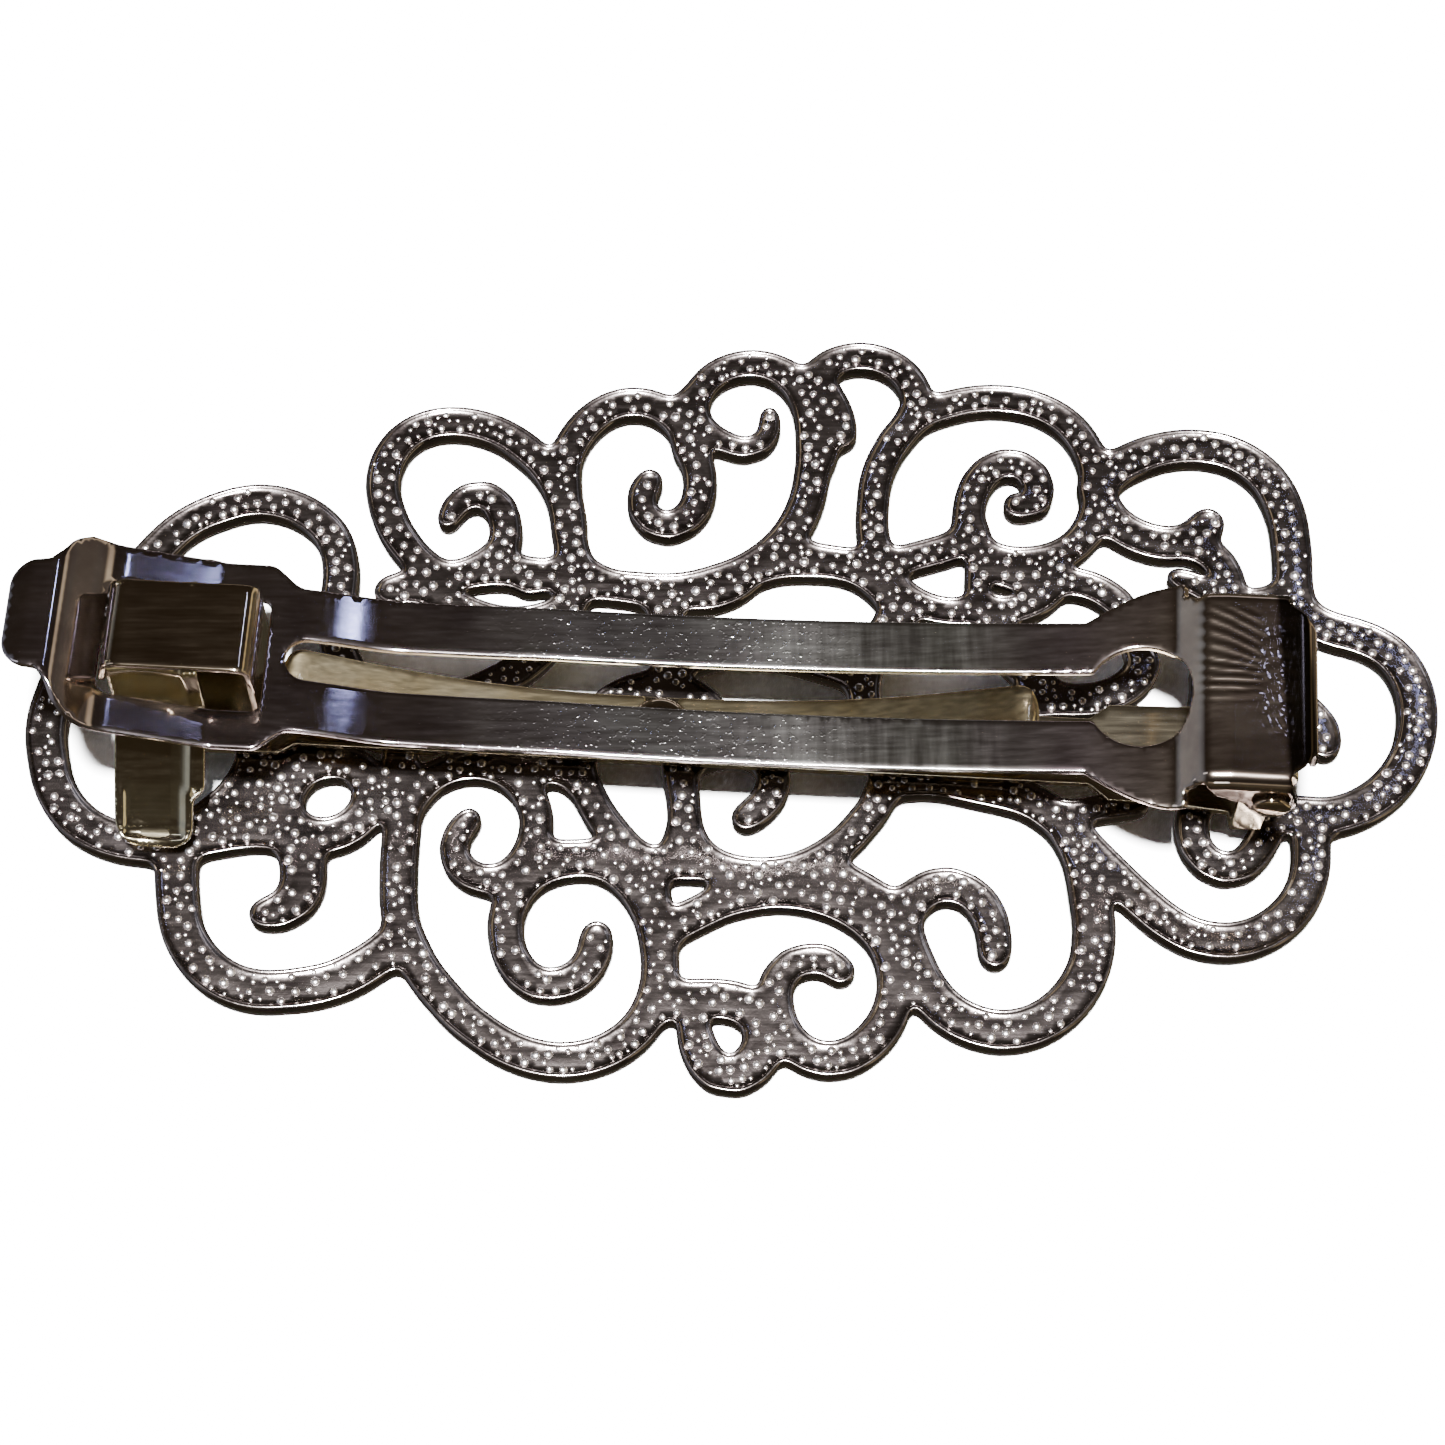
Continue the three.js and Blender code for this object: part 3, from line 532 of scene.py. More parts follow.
def bead_mesh(name, beads, material):
    """Many small domes in one mesh, each closed underneath and leaning a little its own way."""
    rng = np.random.default_rng(11)
    segments = 10
    rings = ((1.0, -0.25), (0.97, 0.10), (0.78, 0.36), (0.42, 0.54))
    turn = np.linspace(0, 2 * math.pi, segments, endpoint=False)
    verts = []
    faces = []
    for x, y, size, gap in beads:
        ground = float(plate_back(None, np.array([gap]))[0])
        lean_x, lean_y = rng.normal(0, 0.15, 2)
        squash = rng.uniform(0.75, 1.15)
        first = len(verts)
        for out, up in rings:
            for a in turn:
                dx, dy = size * out * math.cos(a), size * out * math.sin(a)
                verts.append((x + dx, y + dy, ground + squash * size * up + lean_x * dx + lean_y * dy))
        verts.append((x, y, ground + squash * size * 0.60))
        for r in range(len(rings) - 1):
            for k in range(segments):
                a = first + r * segments + k
                b = first + r * segments + (k + 1) % segments
                faces.append((a, b, b + segments, a + segments))
        last = first + (len(rings) - 1) * segments
        pole = last + segments
        for k in range(segments):
            faces.append((last + k, last + (k + 1) % segments, pole))
        faces.append(tuple(first + k for k in reversed(range(segments))))
    obj = mesh_object(name, verts, faces, material)
    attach(obj, "root")
    return obj


# ---- Bent sheet metal ----
class Bend:
    """A sheet's side line, with rounded corners, followed by its length."""

    def __init__(self, corners, radii, step=0.12 * MM):
        line = [np.array(corners[0], float)]
        for before, at, after, radius in zip(corners, corners[1:], corners[2:], radii[1:]):
            line += self.corner(np.array(before), np.array(at), np.array(after), radius)
        line.append(np.array(corners[-1], float))
        raw = np.array(line)
        run = np.concatenate([[0], np.cumsum(np.linalg.norm(np.diff(raw, axis=0), axis=1))])
        keep = np.concatenate([[True], np.diff(run) > 1e-9])
        raw, run = raw[keep], run[keep]
        self.length = run[-1]
        self.run = np.linspace(0, self.length, int(self.length / step) + 2)
        self.line = np.stack([np.interp(self.run, run, raw[:, k]) for k in range(2)], axis=1)
        along = np.gradient(self.line, self.run, axis=0)
        self.along = along / np.linalg.norm(along, axis=1, keepdims=True)

    @staticmethod
    def corner(before, at, after, radius):
        """The points of an arc that rounds one corner."""
        back, ahead = np.linalg.norm(before - at), np.linalg.norm(after - at)
        a, b = (before - at) / back, (after - at) / ahead
        half = math.acos(max(-1, min(1, float(a @ b)))) / 2
        if half > math.radians(89.5) or radius <= 0:
            return [at]
        reach = min(radius / math.tan(half), 0.48 * back, 0.48 * ahead)
        p, q = at + a * reach, at + b * reach
        return [(1 - t) ** 2 * p + 2 * t * (1 - t) * at + t**2 * q for t in np.linspace(0, 1, 9)]

    def at(self, s):
        place = np.stack([np.interp(s, self.run, self.line[:, k]) for k in range(2)], axis=1)
        along = np.stack([np.interp(s, self.run, self.along[:, k]) for k in range(2)], axis=1)
        along /= np.linalg.norm(along, axis=1, keepdims=True)
        return place, along

    def run_at(self, x):
        """The length at which the line passes x, while it runs towards +x."""
        forward = int(np.argmax(self.line[:, 0] >= self.line[:, 0].max() - 1e-7)) + 1
        return np.interp(x, self.line[:forward, 0], self.run[:forward])


def in_clasp(points):
    """Points in the clasp's own axes, taken into the frame."""
    turn = np.array(CLASP.to_3x3())
    return points @ turn.T + np.array(CLASP.translation)


def pin_circle(place, radius, start=0, end=345, count=24):
    """Points of a flat pattern that lie round the pin once its flap is folded; `place` takes (x, z)."""
    angles = np.radians(np.linspace(start, end, count))
    return [place(PIN_X + radius * math.cos(a), PIN_Z + radius * math.sin(a)) for a in angles]


def both_sides(points):
    """The same points on both sides of the middle line, as two loops."""
    return [np.array(points) * np.array([1, side]) for side in (-1, 1)]


def bent_place(bend, fold=None, swap=False, side=1):
    """How a flat pattern (run, across) and a height over it become a bent sheet.

    `fold` is (from_run, to_run, from_across, radius, direction): flaps beyond from_across turn down or up.
    `swap` makes the line run across the clasp instead of along it.
    """

    def place(points, heights):
        line, along = bend.at(points[:, 0])
        normal = np.stack([-along[:, 1], along[:, 0]], axis=1)
        across = points[:, 1].copy()
        out = heights.copy()
        if fold is not None:
            from_run, to_run, from_across, radius, direction = fold
            past = np.abs(across) - from_across
            use = (past > 0) & (points[:, 0] > from_run) & (points[:, 0] < to_run)
            angle = np.clip(past / radius, 0, math.pi / 2)
            straight = np.maximum(past - radius * math.pi / 2, 0)
            h = heights * -direction
            wide = from_across + (radius + h) * np.sin(angle)
            rise = direction * (radius - (radius + h) * np.cos(angle) + straight)
            across = np.where(use, np.sign(across) * wide, across)
            out = np.where(use, rise, heights)
        flat = line + normal * out[:, None]
        if swap:
            return in_clasp(np.stack([side * across, side * flat[:, 0], flat[:, 1]], axis=1))
        return in_clasp(np.stack([flat[:, 0], across, flat[:, 1]], axis=1))

    return place


def sheet_piece(name, loops, place, thick, material, spacing=0.7 * MM, fine=None, relief=None, edge=0.09 * MM,
                border=0.3 * MM):
    """A bent sheet whose given line is its upper face."""
    loops = [resample(loop, border) for loop in loops]
    plan = plan_mesh(loops, (0.25 * edge, edge), spacing, fine)

    def top(points, gap):
        lift = relief(points) if relief else 0
        return -round_edge(gap, edge) + lift

    def bottom(points, gap):
        return -thick + round_edge(gap, edge)

    return closed_sheet(name, plan, place, top, bottom, material)


# ---- The clasp ----
ARM_LOW_X = -3.5 * MM
ARM_LOW_Z = 8.3 * MM
ARM_RADIUS = 210 * MM
HEAD_LEFT = -39.4 * MM
HEAD_RIGHT = -27.0 * MM
TAB_TIP = -42.7 * MM
TAB_RISE = 2.6 * MM
TAB_HALF = 3.5 * MM
HEAD_HALF = 6.1 * MM
RAIL_HALF = 4.9 * MM
RAIL_HALF_LEFT = 4.7 * MM
FLARE_HALF = 7.3 * MM
HOOD_LEFT = 26.0 * MM
HOOD_RIGHT = 34.2 * MM
HOOD_TOP = 12.2 * MM
HOOD_HALF = 6.4 * MM
END_WALL = 2.1 * MM
SLOT_LEFT = -26.7 * MM
KEYHOLE_X = 24.0 * MM
KEYHOLE_RADIUS = 3.25 * MM


def arm_z(x):
    """The height of the arm's bow."""
    return ARM_LOW_Z + (x - ARM_LOW_X) ** 2 / (2 * ARM_RADIUS)


def smooth_step(u):
    return u**2 * (3 - 2 * u)


def arm_bend():
    """The arm's side line: raised tab, stepped head with a shallow valley, creased and bowed rails, hood."""
    tab = arm_z(HEAD_LEFT) + TAB_RISE
    foot_x = -37.4 * MM
    valley_x, valley_end = -30.6 * MM, -27.6 * MM
    valley_z = arm_z(valley_end) - 0.02 * MM
    foot_z = valley_z + 0.25 * (valley_x - foot_x)
    corners = [
        (TAB_TIP, tab - 0.35 * MM),
        (TAB_TIP + 1.2 * MM, tab),
        (-39.7 * MM, tab + 0.05 * MM),
        (foot_x, foot_z),
        (valley_x, valley_z),
        (valley_end, valley_z),
    ]
    radii = [0, 0.8 * MM, 1.6 * MM, 3.0 * MM, 0.7 * MM, 0.7 * MM]
    crease_left, crease_right, crease_tilt = -25.9 * MM, -20.1 * MM, 0.137
    crease_depth = crease_tilt * (crease_right - crease_left) / 1.5
    crease_return = 9 * MM
    steps = 60
    start = -26.8 * MM
    for i in range(steps + 1):
        x = start + (HOOD_LEFT - start) * i / steps
        into = min(max(x - crease_left, 0), crease_right - crease_left) / (crease_right - crease_left)
        back = min(max(x - crease_right, 0) / crease_return, 1)
        corners.append((x, arm_z(x) - crease_depth * (smooth_step(into) - back)))
        radii.append(0.2 * MM)
    corners += [
        (HOOD_LEFT + 1.5 * MM, HOOD_TOP - 0.15 * MM),
        (HOOD_LEFT + 3.0 * MM, HOOD_TOP),
        (HOOD_RIGHT, HOOD_TOP),
        (HOOD_RIGHT, HOOD_TOP - END_WALL),
    ]
    radii[-1] = 1.3 * MM
    radii += [1.3 * MM, 1.0 * MM, 1.75 * MM, 0]
    return Bend(corners, radii)


def arm_pattern(bend):
    """The arm's flat pattern: outline with flaps for the hood's cheeks, window, slot and pin holes."""
    at = bend.run_at
    fold_radius = 0.9 * MM
    folded = HOOD_HALF - fold_radius
    bent = folded + fold_radius * math.pi / 2

    def flap(x, z):
        """The place in the flat pattern of a point (x, z) on a cheek."""
        return (at(x), bent + HOOD_TOP - fold_radius - z)

    eye = pin_circle(flap, PIN_EYE, 0, -170, 12)
    flare_left, flare_right = 20.7 * MM, 26.4 * MM
    flare = [(flare_right, HOOD_HALF - 0.2 * MM)]
    for u in np.linspace(1, 0, 14):
        bulge = (FLARE_HALF - RAIL_HALF) * math.sin(u * math.pi / 2)
        flare.append((flare_left + u * (flare_right - flare_left), RAIL_HALF + bulge))
    step = []
    for u in np.linspace(0, 1, 10):
        rise = (HEAD_HALF - RAIL_HALF_LEFT) * smooth_step(u)
        step.append((HEAD_RIGHT + (1.1 - 2.3 * u) * MM, RAIL_HALF_LEFT + rise))
    nose = [(HEAD_LEFT + 1.7 * MM, HEAD_HALF), (HEAD_LEFT + 1.0 * MM, HEAD_HALF - 0.15 * MM),
            (HEAD_LEFT + 0.3 * MM, HEAD_HALF - 0.8 * MM), (HEAD_LEFT - 0.4 * MM, TAB_HALF + 0.7 * MM),
            (HEAD_LEFT - 1.0 * MM, TAB_HALF + 0.1 * MM)]
    tip = arc(TAB_TIP + 1.7 * MM, TAB_HALF - 1.7 * MM, 1.7 * MM, 90, 180, 8)
    upper = [
        (bend.length, 0),
        (bend.length, folded - 1.4 * MM),
        (at(HOOD_RIGHT - 0.2 * MM), folded - 1.4 * MM),
        (at(HOOD_RIGHT - 0.8 * MM), folded - 0.6 * MM),
        (at(HOOD_RIGHT - 1.6 * MM), folded - 0.05 * MM),
        (at(HOOD_RIGHT - 1.7 * MM), folded + 0.4 * MM),
        flap(HOOD_RIGHT - 1.4 * MM, PIN_Z + 1.3 * MM),
        *eye,
        flap(HOOD_LEFT + 1.6 * MM, PIN_Z + 0.9 * MM),
        flap(HOOD_LEFT + 1.3 * MM, HOOD_TOP - fold_radius - 0.3 * MM),
        (at(HOOD_LEFT + 1.3 * MM), HOOD_HALF - 0.1 * MM),
    ]
    upper += [(at(x), y) for x, y in flare + step + nose + tip]
    upper = np.array(upper)
    lower = upper[::-1] * np.array([1, -1])
    outline = np.vstack([upper, lower[:-1]])
    window = rounded_bar(at(-37.3 * MM), at(-27.85 * MM), 3.7 * MM, 0.6 * MM)
    slot_half, slot_half_left = 1.6 * MM, 1.35 * MM
    meet = math.degrees(math.asin(slot_half / KEYHOLE_RADIUS))
    slot = np.array(
        arc(at(KEYHOLE_X), 0, KEYHOLE_RADIUS, -180 + meet, 180 - meet, 40)
        + arc(at(SLOT_LEFT) + slot_half_left, 0, slot_half_left, 90, 270, 16)
    )
    holes = both_sides(pin_circle(flap, PIN_HOLE))
    fold = (at(HOOD_LEFT + 0.9 * MM), at(HOOD_RIGHT - 0.7 * MM), folded, fold_radius, -1)
    return [outline, window, slot, *holes], fold


def hood_ridges(bend):
    """The marks pressed into the hood's top: slanting ridges, and a finer cross-hatch near the end."""
    left, right = bend.run_at(HOOD_LEFT + 0.9 * MM), bend.run_at(HOOD_RIGHT - 1.3 * MM)
    hatch = right - 2.2 * MM
    ridge_spacing = 0.76 * MM
    ridge_height, weave_height = 0.027 * MM, 0.024 * MM

    def ramp(value, start, width):
        """0 up to `start`, then up to 1 over `width`."""
        return np.clip((value - start) / width, 0, 1)

    def relief(points):
        run, y = points[:, 0], points[:, 1]
        u, v = run / MM, y / MM
        along, from_hatch = u - left / MM, u - hatch / MM
        slant = 0.42 * ramp(y, -0.5 * MM, 2.4 * MM)
        bow = 0.16 * MM * np.sin(1.1 * along + 0.7 * v)
        phase = (y + slant * (run - left) + bow) / ridge_spacing
        ridged = ramp(run, left, 0.9 * MM) * ramp(-run, -hatch - 0.3 * MM, 0.5 * MM)
        ridged *= ramp(y, -1.6 * MM, 1.2 * MM) * ramp(-y, 1.0 * MM - HOOD_HALF, 0.6 * MM)
        ridges = ridge_height * np.sin(2 * math.pi * phase) ** 3 * ridged
        woven = ramp(run, hatch, 0.4 * MM) * ramp(-run, -right, 0.4 * MM)
        woven *= ramp(y, -3.6 * MM, 0.8 * MM) * ramp(-y, 1.9 * MM - HOOD_HALF, 0.8 * MM)
        weave = np.sin(9.5 * from_hatch + 2.1 * np.sin(4.3 * v)) * np.sin(11 * v + 2.5 * np.sin(3.7 * u))
        return ridges + weave_height * weave * woven

    return relief


def clasp_arm():
    bend = arm_bend()
    loops, fold = arm_pattern(bend)
    hood_low = np.array([bend.run_at(HOOD_LEFT + 0.2 * MM), -2 * HOOD_HALF])
    hood_high = np.array([bend.length, 2 * HOOD_HALF])
    arm = sheet_piece("arm", loops, bent_place(bend, fold), SHEET, ARM_METAL, spacing=0.4 * MM,
                      fine=(hood_low, hood_high, 0.16 * MM), relief=hood_ridges(bend), edge=0.07 * MM)
    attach(arm, "clasp_arm")
    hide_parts("clasp_arm")
    return arm


WEB_TOP = 13.2 * MM
WEB_LEFT = -37.0 * MM
WEB_RIGHT = -28.1 * MM
WEB_HALF = 2.85 * MM
BASE_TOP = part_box("base_strip")[0][2] + 0.6 * MM


def latch_bridge():
    """The latch's arch: a flat top with a wide bend at its left and a leg down to the base at its right."""
    corners = [
        (WEB_LEFT - 0.3 * MM, WEB_TOP - 2.3 * MM),
        (WEB_LEFT + 0.1 * MM, WEB_TOP),
        (WEB_RIGHT, WEB_TOP),
        (WEB_RIGHT, BASE_TOP + 0.03 * MM),
    ]
    bend = Bend(corners, [0, 2.0 * MM, 1.0 * MM, 0])
    loop = rounded_bar(0, bend.length, WEB_HALF, 0.25 * MM)
    bridge = sheet_piece("latch_web", [loop], bent_place(bend), SHEET, STEEL, spacing=0.35 * MM)
    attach(bridge, "root")
    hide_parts("latch_bridge")


def latch_wing(name, body, side):
    """A squeeze wing: down through the window, out under the arm, and a dished grip with a raised rim."""
    edge = WEB_HALF + 0.2 * MM
    corners = [
        (edge - 0.5 * MM, WEB_TOP - 0.02 * MM),
        (edge + 0.05 * MM, WEB_TOP - 0.5 * MM),
        (edge + 0.1 * MM, 8.5 * MM),
        (6.8 * MM, 5.6 * MM),
        (9.0 * MM, 3.5 * MM),
        (9.85 * MM, 3.35 * MM),
    ]
    bend = Bend(corners, [0, 0.5 * MM, 1.2 * MM, 1.5 * MM, 0.8 * MM, 0], 0.08 * MM)
    grip_left, grip_right, neck_right = -36.6 * MM, -31.9 * MM, -31.2 * MM
    middle = (grip_left + grip_right) / 2
    half = (grip_right - grip_left) / 2
    wide = neck_right - middle
    length = bend.length
    step = length - 3.2 * MM
    outline = [(0, -half), (step, -half)]
    outline += arc(length - 1.6 * MM, -half + 1.6 * MM, 1.6 * MM, -90, 0, 8)
    outline += arc(length - 1.2 * MM, half - 1.2 * MM, 1.2 * MM, 0, 90, 8)
    outline += [
        (step + 0.7 * MM, half),
        (step + 0.2 * MM, half + 0.12 * MM),
        (step - 0.2 * MM, wide - 0.1 * MM),
        (step - 0.5 * MM, wide),
        (0, wide),
    ]
    loop = np.array(outline)

    def ridge(distance, width):
        """A raised line, 1 high on its crest, from each point's distance to the crest."""
        return np.exp(-((distance / width) ** 2))

    def relief(points):
        """A raised border round the grip, a rib up its right side and a hollow down its middle."""
        run, across = points[:, 0], points[:, 1]
        grip = np.clip((run - step + 0.6 * MM) / (0.7 * MM), 0, 1)
        near_end = np.minimum(half - np.abs(across), length - run)
        border = 0.17 * MM * grip * ridge(near_end - 0.40 * MM, 0.20 * MM)
        second = 0.10 * MM * grip * ridge(length - run - 1.15 * MM, 0.18 * MM)
        rib = 0.16 * MM * (1 - grip) * ridge(across - half + 0.1 * MM, 0.18 * MM)
        belly = 0.45 * MM * np.cos(np.clip(across / half, -1, 1) * math.pi / 2)
        belly *= np.clip(run / (2 * MM), 0, 1)
        return border + second + rib - belly

    placed = bent_place(bend, swap=True, side=side)
    shift = np.array(CLASP.to_3x3() @ Vector((middle, 0, 0)))

    def place(points, heights):
        turned = points * np.array([1, side])
        return placed(turned, heights) + shift

    wing = sheet_piece(f"{name}_flap", [loop], place, 0.36 * MM, GOLDEN, spacing=0.22 * MM, relief=relief)
    if side > 0:
        turn_inside_out(wing)
    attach(wing, body)
    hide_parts(name)


SPRING_X = -4.5 * MM
SPRING_THICK = 0.3 * MM


def spring_leaf(name, side):
    bottom = BASE_TOP + 0.3 * MM
    curve = 46 * MM
    reach = 21.5 * MM
    run = np.linspace(1.0 * MM, reach, 30)
    rise = np.maximum(run - 2 * MM, 0) ** 2 / (2 * curve)
    corners = [(x, bottom + SPRING_THICK + z) for x, z in zip(run, rise)]
    tip = corners[-1]
    corners += [(tip[0] + 0.75 * MM, tip[1] + 0.12 * MM), (tip[0] + 1.25 * MM, tip[1] - 0.25 * MM)]
    bend = Bend(corners, [0.2 * MM] * (len(corners) - 2) + [0.4 * MM, 0])
    half = 1.9 * MM
    end = bend.length
    tip_radius = 1.7 * MM
    tip_arc = arc(end - tip_radius, -half + tip_radius, tip_radius, -75, 0, 8)
    lower = np.array([(0, -half), (end - 3.2 * MM, -half)] + tip_arc)
    loop = np.vstack([lower, lower[::-1] * np.array([1, -1])])
    placed = bent_place(bend)

    def place(points, heights):
        flat = np.array(CLASP.inverted().to_3x3())
        local = (placed(points, heights) - np.array(CLASP.translation)) @ flat.T
        local[:, :2] *= side
        local[:, 0] += SPRING_X
        return in_clasp(local)

    leaf = sheet_piece(f"{name}_strip", [loop], place, SPRING_THICK, LEAF_METAL, spacing=0.5 * MM,
                       edge=0.07 * MM)
    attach(leaf, name)
    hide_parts(name)


def lathe(name, profile, segments, place, material):
    """A closed turned piece: `profile` is (radius, height) from axis to axis."""
    verts = []
    faces = []
    turn = np.linspace(0, 2 * math.pi, segments, endpoint=False)
    inner = profile[1:-1]
    for radius, height in inner:
        verts += [(radius * math.cos(a), radius * math.sin(a), height) for a in turn]
    for r in range(len(inner) - 1):
        for k in range(segments):
            a, b = r * segments + k, r * segments + (k + 1) % segments
            faces.append((a, b, b + segments, a + segments))
    low = len(verts)
    verts.append((0, 0, profile[0][1]))
    verts.append((0, 0, profile[-1][1]))
    last = (len(inner) - 1) * segments
    for k in range(segments):
        faces.append((low, (k + 1) % segments, k))
        faces.append((low + 1, last + k, last + (k + 1) % segments))
    placed = [place(v) for v in verts]
    return mesh_object(name, placed, faces, material)


def hinge_pin():
    """The pin with its two riveted-over heads."""
    outer = HOOD_HALF + 0.15 * MM
    shank = 0.6 * MM
    end = [(shank, outer), (1.05 * MM, outer), (1.15 * MM, outer + 0.10 * MM), (1.08 * MM, outer + 0.24 * MM),
           (0.8 * MM, outer + 0.36 * MM), (0.4 * MM, outer + 0.42 * MM)]
    low = [(r, -z) for r, z in reversed(end)]
    profile = [(0, -outer - 0.43 * MM), *low, *end, (0, outer + 0.43 * MM)]

    def place(v):
        return CLASP @ Vector((PIN_X + v[0], -v[2], PIN_Z + v[1]))

    pin = lathe("pin", profile, 40, place, STEEL)
    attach(pin, "root")
    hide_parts("hinge_pin")


def spring_rivet():
    low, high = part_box("spring_rivet")
    top = high[2]
    profile = [(0, low[2]), (0.7 * MM, low[2]), (0.7 * MM, top - 0.58 * MM), (1.7 * MM, top - 0.58 * MM),
               (1.75 * MM, top - 0.48 * MM), (1.62 * MM, top - 0.28 * MM), (1.3 * MM, top - 0.11 * MM),
               (0.8 * MM, top - 0.02 * MM), (0, top)]

    def place(v):
        return CLASP @ Vector((SPRING_X + v[0], v[1], v[2]))

    rivet = lathe("rivet", profile, 40, place, STEEL)
    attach(rivet, "root")
    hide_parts("spring_rivet")


def base_strip():
    """The base: a long strip, wide at both ends, with two ears turned up for the pin."""
    thick = 0.6 * MM
    corners = [(-36.6 * MM, BASE_TOP), (33.5 * MM, BASE_TOP)]
    bend = Bend(corners, [0, 0])
    at = bend.run_at
    half = 2.2 * MM
    ear_inner = 4.3 * MM
    radius = 0.5 * MM
    folded = ear_inner - radius
    bent = folded + radius * math.pi / 2

    def ear(x, z):
        return (at(x), bent + z - BASE_TOP - radius)

    eye = pin_circle(ear, PIN_EYE, -65, 200)
    wide = 2.85 * MM
    upper = arc(at(33.5 * MM) - 0.8 * MM, folded - 1.0 * MM, 0.8 * MM, 0, 90, 6)
    upper += [(at(PIN_X + 0.35 * MM), folded - 0.2 * MM), ear(PIN_X + 0.3 * MM, BASE_TOP + radius + 0.3 * MM)]
    upper += eye
    upper += [ear(PIN_X - 1.5 * MM, BASE_TOP + radius + 0.3 * MM), (at(PIN_X - 1.6 * MM), folded - 0.2 * MM)]
    upper += [(at(28.0 * MM), folded - 0.4 * MM), (at(27.0 * MM), half + 1.1 * MM)]
    upper += [(at(22.8 * MM), half + 1.0 * MM), (at(21.6 * MM), half)]
    upper += [(at(-26.6 * MM), half), (at(-27.6 * MM), wide)]
    upper += arc(0.8 * MM, wide - 0.8 * MM, 0.8 * MM, 90, 180, 6)
    upper = np.array(upper)
    outline = np.vstack([upper, upper[::-1] * np.array([1, -1])])
    holes = both_sides(pin_circle(ear, PIN_HOLE))
    fold = (at(PIN_X - 1.8 * MM), at(PIN_X + 1.9 * MM), folded, radius, 1)
    ears = ((at(29.0 * MM), -2 * ear_inner - 3 * MM), (bend.length, 2 * ear_inner + 3 * MM), 0.18 * MM)
    strip = sheet_piece("base", [outline, *holes], bent_place(bend, fold), thick, BASE_METAL,
                        spacing=0.7 * MM, fine=ears, border=0.12 * MM)
    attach(strip, "root")
    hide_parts("base_strip")


# ---- Stage ----
def area_light(name, place, size, radiance, colour=(1, 1, 1)):
    """A rectangular light that faces the clip, with its brightness given as radiance."""
    light = bpy.data.lights.new(name, "AREA")
    light.shape = "RECTANGLE"
    light.size, light.size_y = size
    light.energy = radiance * math.pi * size[0] * size[1]
    light.color = colour
    light.cycles.max_bounces = 1
    obj = bpy.data.objects.new(name, light)
    obj.location = place
    obj.rotation_euler = (-Vector(place)).to_track_quat("-Z", "Y").to_euler()
    bpy.context.scene.collection.objects.link(obj)


def studio_sky():
    """A dim room: nearly dark overhead and behind, warm and light to the right, bluish to the left."""
    world = bpy.data.worlds.new("studio")
    bpy.context.scene.world = world
    world.use_nodes = True
    tree = world.node_tree
    coords = tree.nodes.new("ShaderNodeTexCoord")
    split = tree.nodes.new("ShaderNodeSeparateXYZ")
    tree.links.new(coords.outputs["Generated"], split.inputs[0])
    below, horizon = (0.060, 0.052, 0.036), (0.14, 0.12, 0.08)
    wall, ceiling = (0.09, 0.085, 0.07), (0.034, 0.026, 0.018)
    cool, dark, warm, brown = (0.24, 0.28, 0.35), (0, 0, 0), (0.80, 0.70, 0.46), (0.06, 0.05, 0.035)
    height_stops = ((0.30, below), (0.47, horizon), (0.56, wall), (0.78, ceiling))
    side_stops = ((0.06, cool), (0.18, dark), (0.83, dark), (0.86, warm), (0.89, warm), (0.92, brown))
    colours = []
    for axis, stops in (("Z", height_stops), ("X", side_stops)):
        lift = tree.nodes.new("ShaderNodeMapRange")
        lift.inputs["From Min"].default_value = -1
        tone = tree.nodes.new("ShaderNodeValToRGB")
        ramp = tone.color_ramp.elements
        ramp[0].position, ramp[0].color = stops[0][0], (*stops[0][1], 1)
        ramp[1].position, ramp[1].color = stops[-1][0], (*stops[-1][1], 1)
        for position, colour in stops[1:-1]:
            ramp.new(position).color = (*colour, 1)
        tree.links.new(split.outputs[axis], lift.inputs["Value"])
        tree.links.new(lift.outputs["Result"], tone.inputs["Fac"])
        colours.append(tone.outputs["Color"])
    total = tree.nodes.new("ShaderNodeVectorMath")
    total.operation = "ADD"
    tree.links.new(colours[0], total.inputs[0])
    tree.links.new(colours[1], total.inputs[1])
    tree.links.new(total.outputs["Vector"], tree.nodes["Background"].inputs["Color"])


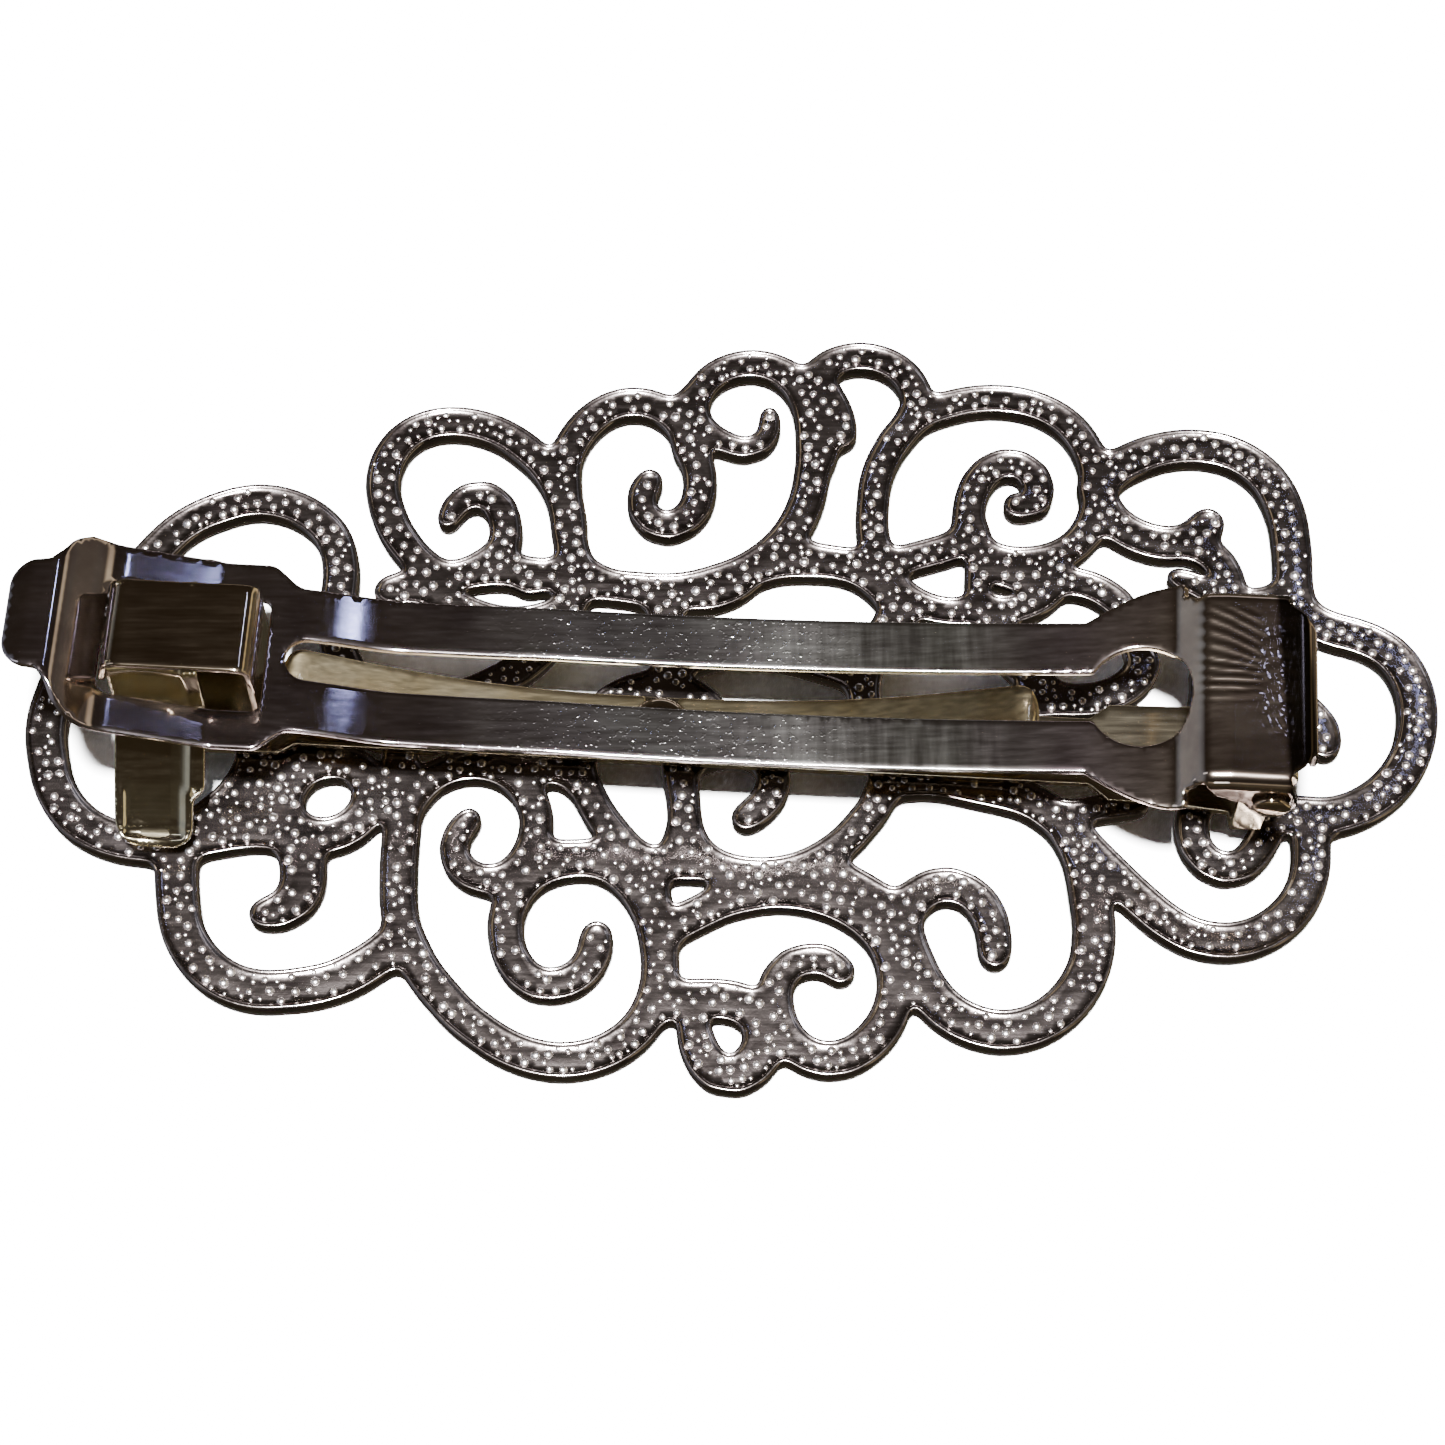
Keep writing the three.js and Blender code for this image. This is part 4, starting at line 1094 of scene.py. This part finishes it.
def stage():
    paper = Nodes("paper")
    paper.shader.inputs["Base Color"].default_value = (0.94, 0.94, 0.94, 1)
    paper.shader.inputs["Roughness"].default_value = 0.9
    size = 3.0
    below = -0.02 * MM
    corners = [(-size, -size, below), (size, -size, below), (size, size, below), (-size, size, below)]
    floor = mesh_object("floor", corners, [(0, 1, 2, 3)], paper.material)
    floor.visible_glossy = False
    studio_sky()
    height = 0.62
    key = (-0.013, -height * math.tan(math.radians(12)), height)
    area_light("key", key, (0.05, 0.05), 11000)
    area_light("window", (0.200, 0.315, height), (0.026, 0.014), 30, (0.42, 0.52, 1.0))
    area_light("warm_side", (0.60, 0.0, 0.24), (0.07, 0.30), 1.6, (1.0, 0.92, 0.70))
    area_light("cool_side", (-0.50, 0.05, 0.50), (0.14, 0.30), 1.6, (0.82, 0.88, 1.0))
    area_light("front", (0.0, -0.55, 0.14), (0.5, 0.12), 0.35, (1.0, 0.92, 0.72))
    area_light("front_glint", (-0.012, -0.55, 0.16), (0.03, 0.08), 9, (0.85, 0.92, 1.0))
    area_light("back", (0.1, 0.65, 0.16), (0.5, 0.12), 0.9, (0.95, 0.93, 1.0))


def camera():
    """A long lens, 26 degrees off the vertical, from the clip's front side."""
    tilt = math.radians(26)
    distance = 0.230
    aim = Vector((-0.70, -0.33, 1.0)) * MM
    seen = 88.65 * MM
    data = bpy.data.cameras.new("camera")
    data.sensor_width = 36
    data.lens = 36 * distance / seen
    data.clip_start = 0.01
    obj = bpy.data.objects.new("camera", data)
    obj.location = aim + distance * Vector((0, -math.sin(tilt), math.cos(tilt)))
    obj.rotation_euler = (tilt, 0, 0)
    bpy.context.scene.collection.objects.link(obj)
    bpy.context.scene.camera = obj


camera()
stage()
LOOPS = plate_loops()
filigree_plate(LOOPS)
BEADS = bead_places(LOOPS)
bead_mesh("beads_latch_half", [b for b in BEADS if b[0] < 0], BEAD_METAL)
bead_mesh("beads_hinge_half", [b for b in BEADS if b[0] >= 0], BEAD_METAL)
clasp_arm()
latch_bridge()
latch_wing("latch_wing_front", "latch_wing_front", -1)
latch_wing("latch_wing_rear", "latch_wing_rear", 1)
spring_leaf("spring_leaf_latch_side", -1)
spring_leaf("spring_leaf_hinge_side", 1)
hinge_pin()
spring_rivet()
base_strip()
for pad in ("solder_pad_latch_end", "solder_pad_hinge_end"):
    node = frame["nodes"][pad]
    node.data.materials.clear()
    node.data.materials.append(GOLDEN)
